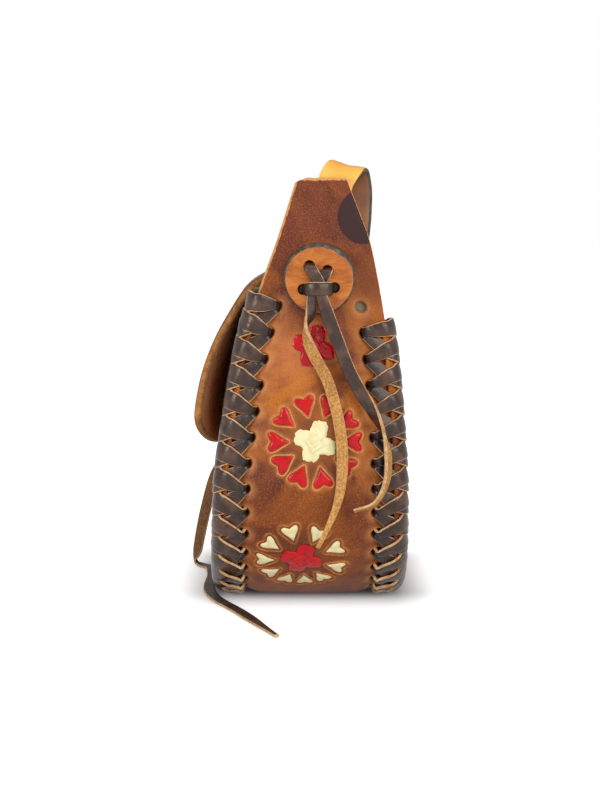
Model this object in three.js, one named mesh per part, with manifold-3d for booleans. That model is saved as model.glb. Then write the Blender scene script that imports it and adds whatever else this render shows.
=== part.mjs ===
// Tooled leather crossbody bag with laced seams, a flap, wooden buttons and a shoulder strap.
// Millimetres, +Z up. X runs along the bag, the flap hangs over the front at -Y, and the origin is
// the middle of the flat bottom face.
import * as THREE from 'three';
import { mergeVertices } from 'three/addons/utils/BufferGeometryUtils.js';
import Module from 'manifold-3d';

const wasm = await Module();
wasm.setup();

// Bag body
const BAG_LENGTH = 211.8;
const BAG_DEPTH = 85;
const CORNER_RADIUS = 67;
const CORNER_FACETS = 9;
const PANEL_TOP = 152;
const TAB_TOP = 203;
const LEATHER = 3.4;
const CLEARANCE = 0.3;

// The gusset's edges drop back from its middle by CROWN, over the width FLANGE
const CROWN = 6.5;
const FLANGE = 19;
const FLANGE_SHARE = 0.45;

// Reach of the gusset's front and back edge from the middle, in shares of half the depth, and the
// share of the crown by which they drop, by height
const HALF_DEPTH = BAG_DEPTH / 2;
const TAB_HEIGHT = TAB_TOP - PANEL_TOP;
const SIDE_OUTLINE = [
  { height: 0, front: 1, back: 1, drop: 1 },
  { height: 0.474 * PANEL_TOP, front: 0.918, back: 0.97, drop: 1 },
  { height: 0.7 * PANEL_TOP, front: 0.795, back: 0.91, drop: 1 },
  { height: 0.845 * PANEL_TOP, front: 0.7, back: 0.855, drop: 0.8 },
  { height: PANEL_TOP, front: 0.541, back: 0.765, drop: 0.5 },
  { height: PANEL_TOP + 0.45 * TAB_HEIGHT, front: 0.341, back: 0.654, drop: 0 },
  { height: TAB_TOP, front: 0.13, back: 0.395, drop: 0 },
];

// Lacing
const LACE_PITCH = 12;
const LACE_WIDTH = 7.2;
const LACE_THICKNESS = 1.3;
const LACE_NECK = 5.2;
const LACE_GAP = 0.75;
const LACE_RISE = 2.95;
const LACE_BEND = 2.2;
const HOLE_INSET = 10;
const HOLE_DIAMETER = 5.2;
const HOLE_SIDES = 4;
const SPARE_HOLES = 1;
// The strand with which a lace ends at the top: its shift up the seam, and its end on the panel
const LACE_END_SHIFT = 4.6;
const LACE_END_INSET = 7.4;

// Flap
const FLAP_LEATHER = 4;
const FLAP_HALF_WIDTH = 87;
const FLAP_TIP_LENGTH = 22;
const FLAP_TIP_HALF_WIDTH = 14;
const FLAP_BODY_ROWS = 11;
const FLAP_TIP_ROWS = 6;
const FLAP_RISE = 2;
// Where it hangs, its middle lies nearer the bag than its sides by FLAP_DISH, from this share of its width
// inwards and from this share of the panels' height downwards
const FLAP_DISH = 4;
const FLAP_DISH_WIDTH = 0.5;
const FLAP_DISH_HEIGHT = 0.2;
// Its outer line from the bend to the tip: shares of half the depth, and of the panels' height
// counted from their top
const FLAP_LINE = [
  [0.612, 0.049],
  [0.141, 0.072],
  [-0.33, 0.067],
  [-0.635, 0.026],
  [-0.894, -0.072],
  [-1.094, -0.181],
  [-1.223, -0.306],
  [-1.261, -0.408],
  [-1.223, -0.474],
  [-1.188, -0.526],
];

// Wooden buttons
const BUTTON_DIAMETER = 32;
const BUTTON_THICKNESS = 5.6;
const BUTTON_ROUNDING = 1.8;
const BUTTON_SIDES = 18;
const BUTTON_CENTRE = { y: 0.11 * HALF_DEPTH, z: PANEL_TOP + 0.114 * TAB_HEIGHT };
const BUTTON_HOLE_DIAMETER = 4.4;
const BUTTON_HOLE_SIDES = 6;
const BUTTON_HOLES = [
  { y: -4.5, z: 5.8 },
  { y: 3.7, z: 3.6 },
  { y: -7.4, z: -4.8 },
  { y: 6.8, z: -4.1 },
];

// Thong that sews a button on, from hole to hole, by distance from the button's middle
const TIE_WIDTH = 3.8;
const TIE_NECK = 2.8;
const TIE_THICKNESS = 1.4;
const TIE_BITE = 0.1;
const TIE_END = { left: -2.9, right: 1.9, z: -6.8 };

// Hanging thongs: distance off the end of the bag, and place from the button's middle
const THONG_WIDTH = 6;
const THONG_NECK = 4.5;
const THONG_TIP = 3;
const THONG_THICKNESS = 1.8;
const LONG_THONG = [
  [7.2, -3.5, -8.7],
  [7.2, -3.9, -15.8],
  [6.2, -6, -22.1],
  [5.2, -4.8, -28.9],
  [4.4, -1.3, -36.4],
  [3.8, 2.9, -44],
  [3.2, 6.9, -56],
  [2.7, 10.2, -73.5],
  [2.4, 10.6, -86],
  [2.4, 8.6, -101.7],
  [2.6, 4.6, -112.3],
  [2.9, -0.5, -122.9],
];
const SHORT_THONG = [
  [8.8, 1.3, -8.7],
  [8.9, 3.6, -15.7],
  [7.8, 5.9, -22],
  [6.6, 8.7, -29.2],
  [5.4, 12.6, -39.5],
  [4.4, 18.5, -51],
  [3.5, 25.3, -61.8],
  [3, 30, -73],
  [2.9, 31.6, -83.5],
  [3, 29.9, -95],
  [3.3, 25.4, -102.3],
  [3.9, 15.9, -105.7],
];

// Closure thong: from the front panel down to the floor, then along and past the end. Its place across
// the bag is in shares of half the depth.
const CLOSURE_THONG = [
  { at: [-17, -0.896, 86], across: [1, 0, 0] },
  { at: [-17, -0.922, 79], across: [1, 0, 0] },
  { at: [-17, -0.952, 71.5], across: [1, 0, 0] },
  { at: [-17.5, -1.06, 61], across: [0.9, 0.4, 0] },
  { at: [-18.5, -1.18, 49], across: [0.4, 0.9, 0] },
  { at: [-20, -1.295, 31], across: [0.3, 1, 0] },
  { at: [-21.5, -1.4, 9], across: [0.6, 0.8, 0] },
  { at: [-21.5, -1.425, 2.6], across: [1, 0.15, 0] },
  { at: [-19, -1.36, 1.2], across: [0.95, -0.3, 0] },
  { at: [-12, -1.23, 1.2], across: [0.7, -0.7, 0] },
  { at: [0, -1.185, 1.2], across: [0, -1, 0] },
  { at: [50, -1.14, 1.2], across: [0, -1, 0] },
  { at: [60, -1.085, 1.2], across: [0.3, -1, 0] },
  { at: [92.4, -0.76, 1.2], across: [0.42, -1, 0] },
  { at: [137.9, -0.337, 1.2], across: [0.42, -1, 0] },
];

// Shoulder strap over a tab: distance in from the tab's inner face, and height from its top
const STRAP_WIDTH = 16;
const STRAP_THICKNESS = 3;
const STRAP_BEND = [
  { at: [3, 3.2, -59], across: [0, 0.98, -0.17] },
  { at: [2.8, 8.4, -28], across: [0, 0.98, -0.17] },
  { at: [1.9, 10.9, -9], across: [0, 0.98, -0.2] },
  { at: [2.5, 12.6, -0.5], across: [0, 0.97, -0.24] },
  { at: [4.8, 15.6, 3.6], across: [0, 0.97, -0.24] },
  { at: [8, 17.9, 4.7], across: [0, 0.97, -0.24] },
  { at: [11.4, 19.6, 2.4], across: [0, 0.97, -0.24] },
  { at: [12.9, 21, -4], across: [0, 0.98, -0.17] },
  { at: [12.6, 21, -14], across: [0, 1, 0] },
  { at: [9.8, 18.5, -38], across: [0, 1, 0] },
  { at: [9.2, 15, -76], across: [0, 1, 0] },
  { at: [8.8, 9, -115], across: [0, 1, 0] },
];
// Its folds on the bottom, from right to left: share of the bag's half length, and height
const STRAP_MIDDLE = 2;
const STRAP_FOLDS = [
  [0.865, 60],
  [0.78, 34],
  [0.63, 16],
  [0.46, 8.4],
  [0.27, 6.4],
  [-0.43, 6.8],
  [-0.515, 9.4],
  [-0.55, 13.4],
  [-0.515, 17.4],
  [-0.43, 18.4],
  [0.425, 18.4],
  [0.51, 19.4],
  [0.545, 23.4],
  [0.51, 27.6],
  [0.42, 28.6],
  [-0.42, 28.6],
  [-0.6, 31],
  [-0.76, 42],
  [-0.865, 62],
];

// Stamped ornament: rosettes of hearts round a four-lobed middle, by distance along the gusset
const STAMP_DEPTH = 1;
const HEART_RING = 17.3;
const HEART = [
  [0, -4.9],
  [4.1, 2.3],
  [2.9, 4],
  [0, 2.2],
  [-2.9, 4],
  [-4.1, 2.3],
];
// Turn of each heart round its rosette, in degrees
const UPPER_HEARTS = [0, 32, 69, 105, 143, 180, 213, 246, 281, 323];
const LOWER_HEARTS = [-18, 25, 65, 106, 145, 181, 215, 246, 275, 304];
const LOBE_REACH = 9.5;
const LOBE_WAIST = 5;
const LOBES = 4;
const LOBE_TILT = -0.3;

const FLAT_HALF = BAG_LENGTH / 2 - CORNER_RADIUS;
const CORNER_LENGTH = (CORNER_RADIUS * Math.PI) / 2;
const WALL_START = FLAT_HALF + CORNER_LENGTH;
const WALL = PANEL_TOP - CORNER_RADIUS;
const SEAM_HALF = WALL_START + WALL;
const FRONT_HOLES = Math.floor(SEAM_HALF / LACE_PITCH);
const ROSETTES = [
  { distance: WALL_START + 0.192 * WALL, y: 2.9, hearts: UPPER_HEARTS },
  { distance: FLAT_HALF + 0.578 * CORNER_LENGTH, y: -3.4, hearts: LOWER_HEARTS },
  { distance: WALL_START + 0.705 * WALL, y: 2.2, hearts: [] },
];
const UP_Y = new THREE.Vector3(0, 1, 0);

// Solids

/** A closed geometry as a solid, turned the right way out. */
function solid(geometry) {
  const bare = geometry.clone();
  bare.deleteAttribute('normal');
  bare.deleteAttribute('uv');
  const merged = mergeVertices(bare, 1e-4);
  const corners = Uint32Array.from(merged.index.array);
  const position = merged.attributes.position;
  const [a, b, c] = [new THREE.Vector3(), new THREE.Vector3(), new THREE.Vector3()];
  let volume = 0;
  for (let i = 0; i < corners.length; i += 3) {
    a.fromBufferAttribute(position, corners[i]);
    b.fromBufferAttribute(position, corners[i + 1]);
    c.fromBufferAttribute(position, corners[i + 2]);
    volume += a.dot(b.cross(c));
  }
  if (volume < 0) {
    for (let i = 0; i < corners.length; i += 3) {
      [corners[i + 1], corners[i + 2]] = [corners[i + 2], corners[i + 1]];
    }
  }
  const vertProperties = Float32Array.from(position.array);
  return new wasm.Manifold(new wasm.Mesh({ numProp: 3, vertProperties, triVerts: corners }));
}

/** A solid as a geometry. */
function geometryOf(body) {
  const mesh = body.getMesh();
  const geometry = new THREE.BufferGeometry();
  geometry.setAttribute('position', new THREE.BufferAttribute(mesh.vertProperties, 3));
  geometry.setIndex(new THREE.BufferAttribute(mesh.triVerts, 1));
  geometry.computeVertexNormals();
  return geometry;
}

/** A box of columns by rows by one layer, each corner moved to place(column, row, layer). */
function sheet(columns, rows, place) {
  const geometry = new THREE.BoxGeometry(1, 1, 1, columns, rows, 1);
  const position = geometry.attributes.position;
  for (let i = 0; i < position.count; i += 1) {
    const column = Math.round((position.getX(i) + 0.5) * columns);
    const row = Math.round((position.getY(i) + 0.5) * rows);
    const layer = Math.round(position.getZ(i) + 0.5);
    const point = place(column, row, layer);
    position.setXYZ(i, point.x, point.y, point.z);
  }
  return solid(geometry);
}

/** A flat band through sections of centre, across (half its width) and up (half its thickness). */
function band(sections) {
  return sheet(1, sections.length - 1, (column, row, layer) => {
    const { centre, across, up } = sections[row];
    return centre
      .clone()
      .addScaledVector(across, column * 2 - 1)
      .addScaledVector(up, layer * 2 - 1);
  });
}

/** Direction of a route at each of its points. */
function directions(centres) {
  return centres.map((_, i) => {
    const before = centres[Math.max(i - 1, 0)];
    const after = centres[Math.min(i + 1, centres.length - 1)];
    return after.clone().sub(before).normalize();
  });
}

/** A flat strip of even thickness along points, each with the direction of its width and its width. */
function strip(points, thickness) {
  const centres = points.map((point) => new THREE.Vector3(...point.at));
  const along = directions(centres);
  const sections = points.map(({ across, width }, i) => {
    const side = new THREE.Vector3(...across);
    side.addScaledVector(along[i], -side.dot(along[i])).normalize();
    const up = new THREE.Vector3().crossVectors(along[i], side).multiplyScalar(thickness / 2);
    return { centre: centres[i], across: side.multiplyScalar(width / 2), up };
  });
  return band(sections);
}

/** A flat strip whose face points along X. */
function stripFacingX(places, widths, thickness) {
  const along = directions(places.map((at) => new THREE.Vector3(...at)));
  const facing = new THREE.Vector3(1, 0, 0);
  const points = places.map((at, i) => {
    const across = new THREE.Vector3().crossVectors(facing, along[i]).toArray();
    return { at, across, width: widths[i] };
  });
  return strip(points, thickness);
}

/** An outline in the X-Z plane carried along Y between two planes. */
function prismAlongY(points, from, to) {
  const shape = new THREE.Shape(points);
  const geometry = new THREE.ExtrudeGeometry(shape, { depth: to - from, bevelEnabled: false });
  geometry.rotateX(Math.PI / 2);
  geometry.translate(0, to, 0);
  return solid(geometry);
}

/** An outline in the Y-Z plane carried along X, as far to both sides. */
function prismAlongX(points, half) {
  const shape = new THREE.Shape(points);
  const geometry = new THREE.ExtrudeGeometry(shape, { depth: 2 * half, bevelEnabled: false });
  geometry.translate(0, 0, -half);
  const [x, y, z] = [new THREE.Vector3(0, 1, 0), new THREE.Vector3(0, 0, 1), new THREE.Vector3(1, 0, 0)];
  geometry.applyMatrix4(new THREE.Matrix4().makeBasis(x, y, z));
  return solid(geometry);
}

/** A round punch centred on a point, its axis along a direction. */
function punch(centre, direction, diameter, length, sides) {
  const geometry = new THREE.CylinderGeometry(diameter / 2, diameter / 2, length, sides);
  geometry.applyQuaternion(new THREE.Quaternion().setFromUnitVectors(UP_Y, direction));
  geometry.translate(centre.x, centre.y, centre.z);
  return solid(geometry);
}

function joined(bodies) {
  return bodies.reduce((all, body) => all.add(body));
}

function cut(body, tools) {
  return body.subtract(joined(tools));
}

function mirroredInX(body) {
  return solid(geometryOf(body).applyMatrix4(new THREE.Matrix4().makeScale(-1, 1, 1)));
}

// The gusset's run: along the bottom, round the corners and up the ends

/** Place, outward direction and upward direction on the gusset's outside, by distance from its middle. */
function run(distance) {
  const side = Math.sign(distance) || 1;
  const far = Math.abs(distance);
  const turn = THREE.MathUtils.clamp((far - FLAT_HALF) / CORNER_RADIUS, 0, Math.PI / 2);
  const climb = Math.max(far - WALL_START, 0);
  const x = Math.min(far, FLAT_HALF) + CORNER_RADIUS * Math.sin(turn);
  const z = CORNER_RADIUS * (1 - Math.cos(turn)) + climb;
  return {
    place: new THREE.Vector3(side * x, 0, z),
    out: new THREE.Vector3(side * Math.sin(turn), 0, -Math.cos(turn)),
    rise: new THREE.Vector3(side * Math.cos(turn), 0, Math.sin(turn)),
  };
}

/** One column of the side outline at a height. */
function outlineAt(key, height) {
  const i = SIDE_OUTLINE.findIndex((row) => row.height >= height);
  const high = SIDE_OUTLINE[i < 0 ? SIDE_OUTLINE.length - 1 : Math.max(i, 1)];
  const low = SIDE_OUTLINE[SIDE_OUTLINE.indexOf(high) - 1];
  const share = THREE.MathUtils.clamp((height - low.height) / (high.height - low.height), 0, 1);
  return THREE.MathUtils.lerp(low[key], high[key], share);
}

/** The front (-1) or the back (1) edge of the gusset at a height. */
function edgeY(side, height) {
  return side * HALF_DEPTH * outlineAt(side < 0 ? 'front' : 'back', height);
}

function crownAt(height) {
  return CROWN * outlineAt('drop', height);
}

function flangeAt(height) {
  return Math.min(FLANGE, FLANGE_SHARE * (edgeY(1, height) - edgeY(-1, height)));
}

/** Distances along the run at which the gusset bends, from its middle up to a height. */
function bends(top) {
  const heights = SIDE_OUTLINE.map((row) => row.height).filter((z) => z > CORNER_RADIUS && z < top);
  const corner = Array.from({ length: CORNER_FACETS + 1 }, (_, i) => (i / CORNER_FACETS) * CORNER_LENGTH);
  const half = [
    ...corner.map((length) => FLAT_HALF + length),
    ...[...heights, top].map((z) => WALL_START + z - CORNER_RADIUS),
  ];
  return [...half.map((d) => -d).reverse(), ...half];
}

/** A point on the gusset: inset from the edge of one side, and height off the outer face. */
function onGusset(distance, side, inset, lift) {
  const at = run(distance);
  const drop = crownAt(at.place.z) * Math.max(1 - inset / flangeAt(at.place.z), 0);
  const point = at.place.addScaledVector(at.out, lift - drop);
  point.y = edgeY(side, point.z) - side * inset;
  return point;
}

/** A point on a panel's outer face: inset from the seam's corner, and height off the face. */
function onPanel(distance, side, inset, lift) {
  const at = run(distance);
  const point = at.place.addScaledVector(at.out, -crownAt(at.place.z) - inset);
  point.y = edgeY(side, point.z) + side * lift;
  return point;
}

/** The seam's holes, as distances along the run from its middle. */
function stitches(count) {
  return Array.from({ length: 2 * count }, (_, i) => (i - count + 0.5) * LACE_PITCH);
}

const SEAMS = [
  { side: -1, holes: stitches(FRONT_HOLES), gussetHoles: stitches(FRONT_HOLES) },
  { side: 1, holes: stitches(FRONT_HOLES - SPARE_HOLES), gussetHoles: stitches(FRONT_HOLES) },
];

// Sub-parts

function makeGusset() {
  const stations = bends(TAB_TOP);
  const body = sheet(3, stations.length - 1, (column, row, layer) => {
    const side = column < 2 ? -1 : 1;
    const height = run(stations[row]).place.z;
    const inset = column === 0 || column === 3 ? 0 : flangeAt(height);
    return onGusset(stations[row], side, inset, layer * LEATHER - LEATHER);
  });
  const tools = SEAMS.flatMap(({ side, gussetHoles }) =>
    gussetHoles.map((distance) => {
      const centre = onGusset(distance, side, HOLE_INSET, -LEATHER / 2);
      return punch(centre, run(distance).out, HOLE_DIAMETER, 4 * LEATHER, HOLE_SIDES);
    }),
  );
  const stamps = [-1, 1].flatMap((end) => ROSETTES.flatMap((rosette) => rosetteStamps(rosette, end)));
  return cut(body, [...tools, ...stamps]);
}

/** A stamp of an outline pressed into the gusset, the outline's y axis pointing up the end. */
function stamp(outline, distance, y) {
  const { place, out, rise } = run(distance);
  const shape = new THREE.Shape(outline);
  const geometry = new THREE.ExtrudeGeometry(shape, { depth: 4 * STAMP_DEPTH, bevelEnabled: false });
  geometry.translate(0, 0, -STAMP_DEPTH);
  geometry.applyMatrix4(new THREE.Matrix4().makeBasis(UP_Y, rise, out));
  geometry.translate(place.x, y, place.z);
  return solid(geometry);
}

/** The stamps of one rosette on the right-hand (1) or left-hand (-1) end. */
function rosetteStamps({ distance, y, hearts }, end) {
  const lobes = Array.from({ length: 2 * LOBES }, (_, i) => {
    const reach = i % 2 ? LOBE_WAIST : LOBE_REACH;
    const turned = (i * Math.PI) / LOBES + LOBE_TILT;
    return new THREE.Vector2(reach * Math.cos(turned), reach * Math.sin(turned));
  });
  const stamps = [stamp(lobes, end * distance, y)];
  const origin = new THREE.Vector2();
  hearts.forEach((degrees) => {
    const turned = THREE.MathUtils.degToRad(degrees);
    const tilt = turned - Math.PI / 2;
    const outline = HEART.map(([u, v]) => new THREE.Vector2(u, v).rotateAround(origin, tilt));
    const up = HEART_RING * Math.sin(turned);
    stamps.push(stamp(outline, end * (distance + up), y + HEART_RING * Math.cos(turned)));
  });
  return stamps;
}

function makePanel({ side, holes }) {
  const stations = bends(PANEL_TOP);
  const outline = stations.map((distance) => {
    const point = onPanel(distance, side, LEATHER + CLEARANCE, 0);
    return new THREE.Vector2(point.x, point.z);
  });
  const heights = SIDE_OUTLINE.map((row) => row.height).filter((z) => z <= PANEL_TOP);
  const outer = heights.map((z) => new THREE.Vector2(edgeY(side, z), z));
  const inner = heights.map((z) => new THREE.Vector2(edgeY(side, z) - side * LEATHER, z)).reverse();
  const wall = prismAlongX([...outer, ...inner], BAG_LENGTH);
  const body = wall.intersect(prismAlongY(outline, -BAG_DEPTH, BAG_DEPTH));
  const tools = holes.map((distance) => {
    const centre = onPanel(distance, side, HOLE_INSET, -LEATHER / 2);
    return punch(centre, UP_Y, HOLE_DIAMETER, 4 * LEATHER, HOLE_SIDES);
  });
  return cut(body, tools);
}

/** Where a lace turns back at a hole: a short section that points across the seam. */
function turn(side, hole) {
  const lift = LACE_GAP + LACE_THICKNESS / 2;
  const on = hole.onPanel ? onPanel : onGusset;
  const near = on(hole.distance, side, HOLE_INSET - LACE_NECK / 2, lift);
  const far = on(hole.distance, side, HOLE_INSET + LACE_NECK / 2, lift);
  const across = far.clone().sub(near).multiplyScalar(hole.onPanel ? 0.5 : -0.5);
  const out = hole.onPanel ? new THREE.Vector3(0, side, 0) : run(hole.distance).out;
  return { centre: near.add(far).multiplyScalar(0.5), across, up: out.multiplyScalar(LACE_THICKNESS / 2) };
}

/** The two sections with which a strand bends over the seam's corner, above or below the one it crosses. */
function overCorner(side, distance, slant, above, direction) {
  const half = LACE_THICKNESS / 2;
  const lift = LACE_GAP + half + (above ? LACE_RISE : 0);
  const shift = lift / LACE_BEND;
  const { out } = run(distance);
  const outward = new THREE.Vector3(0, side, 0);
  const reach = LACE_WIDTH / Math.cos(slant) / 2;
  const [start, end] = [-reach, reach].map((step) => onGusset(distance + step, side, 0, 0));
  const across = end.clone().sub(start).multiplyScalar(direction / 2);
  const corner = start.add(end).multiplyScalar(0.5);
  return [
    [lift, shift],
    [shift, lift],
  ].map(([up, aside]) => ({
    centre: corner.clone().addScaledVector(out, up).addScaledVector(outward, aside),
    across,
    up: out.clone().multiplyScalar(up).addScaledVector(outward, aside).normalize().multiplyScalar(half),
  }));
}

/** The strand with which a lace ends: from its last hole on the gusset straight over to the panel. */
function laceEnd(side, hole) {
  const distance = hole.distance + Math.sign(hole.distance) * LACE_END_SHIFT;
  const direction = -Math.sign(hole.distance);
  const bend = overCorner(side, distance, 0, false, direction);
  const reach = LACE_WIDTH / 2;
  const lift = LACE_GAP + LACE_THICKNESS / 2;
  const [start, end] = [-reach, reach].map((step) => onPanel(distance + step, side, LACE_END_INSET, lift));
  const across = end.clone().sub(start).multiplyScalar(direction / 2);
  const up = new THREE.Vector3(0, (side * LACE_THICKNESS) / 2, 0);
  return [...bend, { centre: start.add(end).multiplyScalar(0.5), across, up }];
}

/** One lace of a seam, from hole to hole in turn on the gusset and the panel. */
function makeLace({ side, holes }, startsOnPanel) {
  const stops = holes.map((distance, i) => ({ distance, onPanel: (i % 2 === 1) !== startsOnPanel }));
  const sections = [];
  if (!stops[0].onPanel) {
    sections.push(...laceEnd(side, stops[0]).reverse());
  }
  stops.forEach((stop, i) => {
    sections.push(turn(side, stop));
    if (i + 1 < stops.length) {
      const middle = (stop.distance + stops[i + 1].distance) / 2;
      const slant = Math.atan2(stops[i + 1].distance - stop.distance, 2 * HOLE_INSET);
      const above = stop.onPanel ? middle < 0 : middle >= 0;
      const bend = overCorner(side, middle, slant, above, stop.onPanel ? 1 : -1);
      sections.push(...(stop.onPanel ? bend.reverse() : bend));
    }
  });
  const last = stops[stops.length - 1];
  if (!last.onPanel) {
    sections.push(...laceEnd(side, last));
  }
  return band(sections);
}

function makeFlap() {
  const back = edgeY(1, PANEL_TOP);
  const points = [
    new THREE.Vector2(back, PANEL_TOP + CLEARANCE),
    new THREE.Vector2(back, PANEL_TOP + FLAP_RISE),
    ...FLAP_LINE.map(([y, z]) => new THREE.Vector2(y * HALF_DEPTH, (1 + z) * PANEL_TOP)),
  ];
  const curve = new THREE.SplineCurve(points);
  const length = curve.getLength();
  const straight = length - FLAP_TIP_LENGTH;
  const lastTurn = Math.acos(FLAP_TIP_HALF_WIDTH / FLAP_HALF_WIDTH);
  const rows = Array.from({ length: FLAP_BODY_ROWS + FLAP_TIP_ROWS + 1 }, (_, i) => {
    if (i <= FLAP_BODY_ROWS) {
      return { at: (straight * i) / FLAP_BODY_ROWS, half: FLAP_HALF_WIDTH };
    }
    const turned = (lastTurn * (i - FLAP_BODY_ROWS)) / FLAP_TIP_ROWS;
    const share = Math.sin(turned) / Math.sin(lastTurn);
    return { at: straight + FLAP_TIP_LENGTH * share, half: FLAP_HALF_WIDTH * Math.cos(turned) };
  });
  const columns = [-1, -FLAP_DISH_WIDTH, FLAP_DISH_WIDTH, 1];
  return sheet(columns.length - 1, rows.length - 1, (column, row, layer) => {
    const { at, half } = rows[row];
    const point = curve.getPointAt(at / length);
    const along = curve.getTangentAt(at / length);
    const x = half * columns[column];
    const fromSide = (FLAP_HALF_WIDTH - Math.abs(x)) / ((1 - FLAP_DISH_WIDTH) * FLAP_HALF_WIDTH);
    const hanging = THREE.MathUtils.smoothstep(PANEL_TOP - point.y, 0, FLAP_DISH_HEIGHT * PANEL_TOP);
    const dish = FLAP_DISH * hanging * THREE.MathUtils.clamp(fromSide, 0, 1);
    const inward = new THREE.Vector2(-along.y, along.x).multiplyScalar((1 - layer) * FLAP_LEATHER + dish);
    return new THREE.Vector3(x, point.x + inward.x, point.y + inward.y);
  });
}

/** A button on the right-hand tab: a round disc with a rounded front edge and four holes. */
function makeButton() {
  const radius = BUTTON_DIAMETER / 2;
  const profile = new THREE.Path();
  profile.moveTo(0, 0);
  profile.lineTo(radius - BUTTON_ROUNDING / 2, 0);
  profile.lineTo(radius, BUTTON_ROUNDING / 2);
  profile.lineTo(radius, BUTTON_THICKNESS - BUTTON_ROUNDING);
  profile.lineTo(radius - BUTTON_ROUNDING, BUTTON_THICKNESS);
  profile.lineTo(0, BUTTON_THICKNESS);
  const geometry = new THREE.LatheGeometry(profile.getPoints(), BUTTON_SIDES);
  geometry.rotateZ(-Math.PI / 2);
  geometry.translate(BAG_LENGTH / 2 + CLEARANCE, BUTTON_CENTRE.y, BUTTON_CENTRE.z);
  const out = new THREE.Vector3(1, 0, 0);
  const tools = BUTTON_HOLES.map((hole) => {
    const centre = new THREE.Vector3(BAG_LENGTH / 2, BUTTON_CENTRE.y + hole.y, BUTTON_CENTRE.z + hole.z);
    return punch(centre, out, BUTTON_HOLE_DIAMETER, 4 * BUTTON_THICKNESS, BUTTON_HOLE_SIDES);
  });
  return cut(solid(geometry), tools);
}

/** The thong that sews a button on: two strips from the upper holes and a band over them. */
function makeTie() {
  const face = BAG_LENGTH / 2 + CLEARANCE + BUTTON_THICKNESS + CLEARANCE + TIE_THICKNESS / 2;
  const deep = face - BUTTON_THICKNESS;
  const at = (x, { y, z }) => [x, BUTTON_CENTRE.y + y, BUTTON_CENTRE.z + z];
  const [upperLeft, upperRight, lowerLeft, lowerRight] = BUTTON_HOLES;
  const down = (hole, endY) => {
    const points = [
      { at: at(deep, hole), across: [0, 1, 0], width: TIE_NECK },
      { at: at(face, hole), across: [0, 1, 0], width: TIE_NECK },
      { at: at(face, { y: endY, z: TIE_END.z }), across: [0, 1, 0], width: TIE_WIDTH },
    ];
    return strip(points, TIE_THICKNESS);
  };
  const over = face + TIE_THICKNESS - TIE_BITE;
  const middle = (lowerLeft.z + lowerRight.z) / 2;
  const bandPoints = [
    { at: at(deep, lowerLeft), width: TIE_NECK },
    { at: at(face, lowerLeft), width: TIE_NECK },
    { at: at(over, { y: TIE_END.left, z: middle }), width: TIE_WIDTH },
    { at: at(over, { y: TIE_END.right, z: middle }), width: TIE_WIDTH },
    { at: at(face, lowerRight), width: TIE_NECK },
    { at: at(deep, lowerRight), width: TIE_NECK },
  ].map((point) => ({ ...point, across: [0, 0, 1] }));
  return joined([
    down(upperLeft, TIE_END.right),
    down(upperRight, TIE_END.left),
    strip(bandPoints, TIE_THICKNESS),
  ]);
}

function makeHangingThong(offsets) {
  const last = offsets.length - 1;
  const places = offsets.map(([off, y, z]) => {
    return [BAG_LENGTH / 2 + off, BUTTON_CENTRE.y + y, BUTTON_CENTRE.z + z];
  });
  const widths = places.map((_, i) => {
    if (i === last) {
      return THONG_TIP;
    }
    return i === 0 ? THONG_NECK : THONG_WIDTH;
  });
  return stripFacingX(places, widths, THONG_THICKNESS);
}

function makeClosureThong() {
  const last = CLOSURE_THONG.length - 1;
  const widthAt = (i) => (i === last ? THONG_TIP : THONG_WIDTH);
  const points = CLOSURE_THONG.map(({ at: [x, share, z], across }, i) => {
    return { at: [x, share * HALF_DEPTH, z], across, width: widthAt(i) };
  });
  return strip(points, THONG_THICKNESS);
}

function makeStrap() {
  const half = BAG_LENGTH / 2;
  const bend = (end) =>
    STRAP_BEND.map(({ at: [inset, y, z], across }) => ({
      at: [end * (half - LEATHER - inset), y, TAB_TOP + z],
      across,
    }));
  const folds = STRAP_FOLDS.map(([share, z]) => {
    return { at: [share * half, STRAP_MIDDLE, z], across: [0, 1, 0] };
  });
  const points = [...bend(1), ...folds, ...bend(-1).reverse()];
  return strip(points.map((point) => ({ ...point, width: STRAP_WIDTH })), STRAP_THICKNESS);
}

const LEATHER_LOOK = { color: 0x8c552d, roughness: 0.55, metalness: 0 };
const LACE_LOOK = { color: 0x3c2d2a, roughness: 0.4, metalness: 0 };
const THONG_LOOK = { color: 0x9a6a3a, roughness: 0.8, metalness: 0 };
const STRAP_LOOK = { color: 0xd9963f, roughness: 0.6, metalness: 0 };
const WOOD_LOOK = { color: 0xbe6e2d, roughness: 0.45, metalness: 0 };

const bag = new THREE.Group();
bag.name = 'crossbody_bag';

function add(name, body, look) {
  const mesh = new THREE.Mesh(geometryOf(body), new THREE.MeshStandardMaterial(look));
  mesh.name = name;
  bag.add(mesh);
}

add('gusset', makeGusset(), LEATHER_LOOK);
add('front_panel', makePanel(SEAMS[0]), LEATHER_LOOK);
add('back_panel', makePanel(SEAMS[1]), LEATHER_LOOK);
add('flap', makeFlap(), LEATHER_LOOK);
SEAMS.forEach((seam) => {
  const name = seam.side < 0 ? 'front_lace' : 'back_lace';
  add(`${name}_a`, makeLace(seam, false), LACE_LOOK);
  add(`${name}_b`, makeLace(seam, true), LACE_LOOK);
});
const endPieces = [
  ['button', makeButton(), WOOD_LOOK],
  ['button_tie', makeTie(), LACE_LOOK],
  ['long_thong', makeHangingThong(LONG_THONG), THONG_LOOK],
  ['short_thong', makeHangingThong(SHORT_THONG), LACE_LOOK],
];
endPieces.forEach(([name, body, look]) => {
  add(`right_${name}`, body, look);
  add(`left_${name}`, mirroredInX(body), look);
});
add('closure_thong', makeClosureThong(), THONG_LOOK);
add('shoulder_strap', makeStrap(), STRAP_LOOK);

export default bag;
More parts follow.
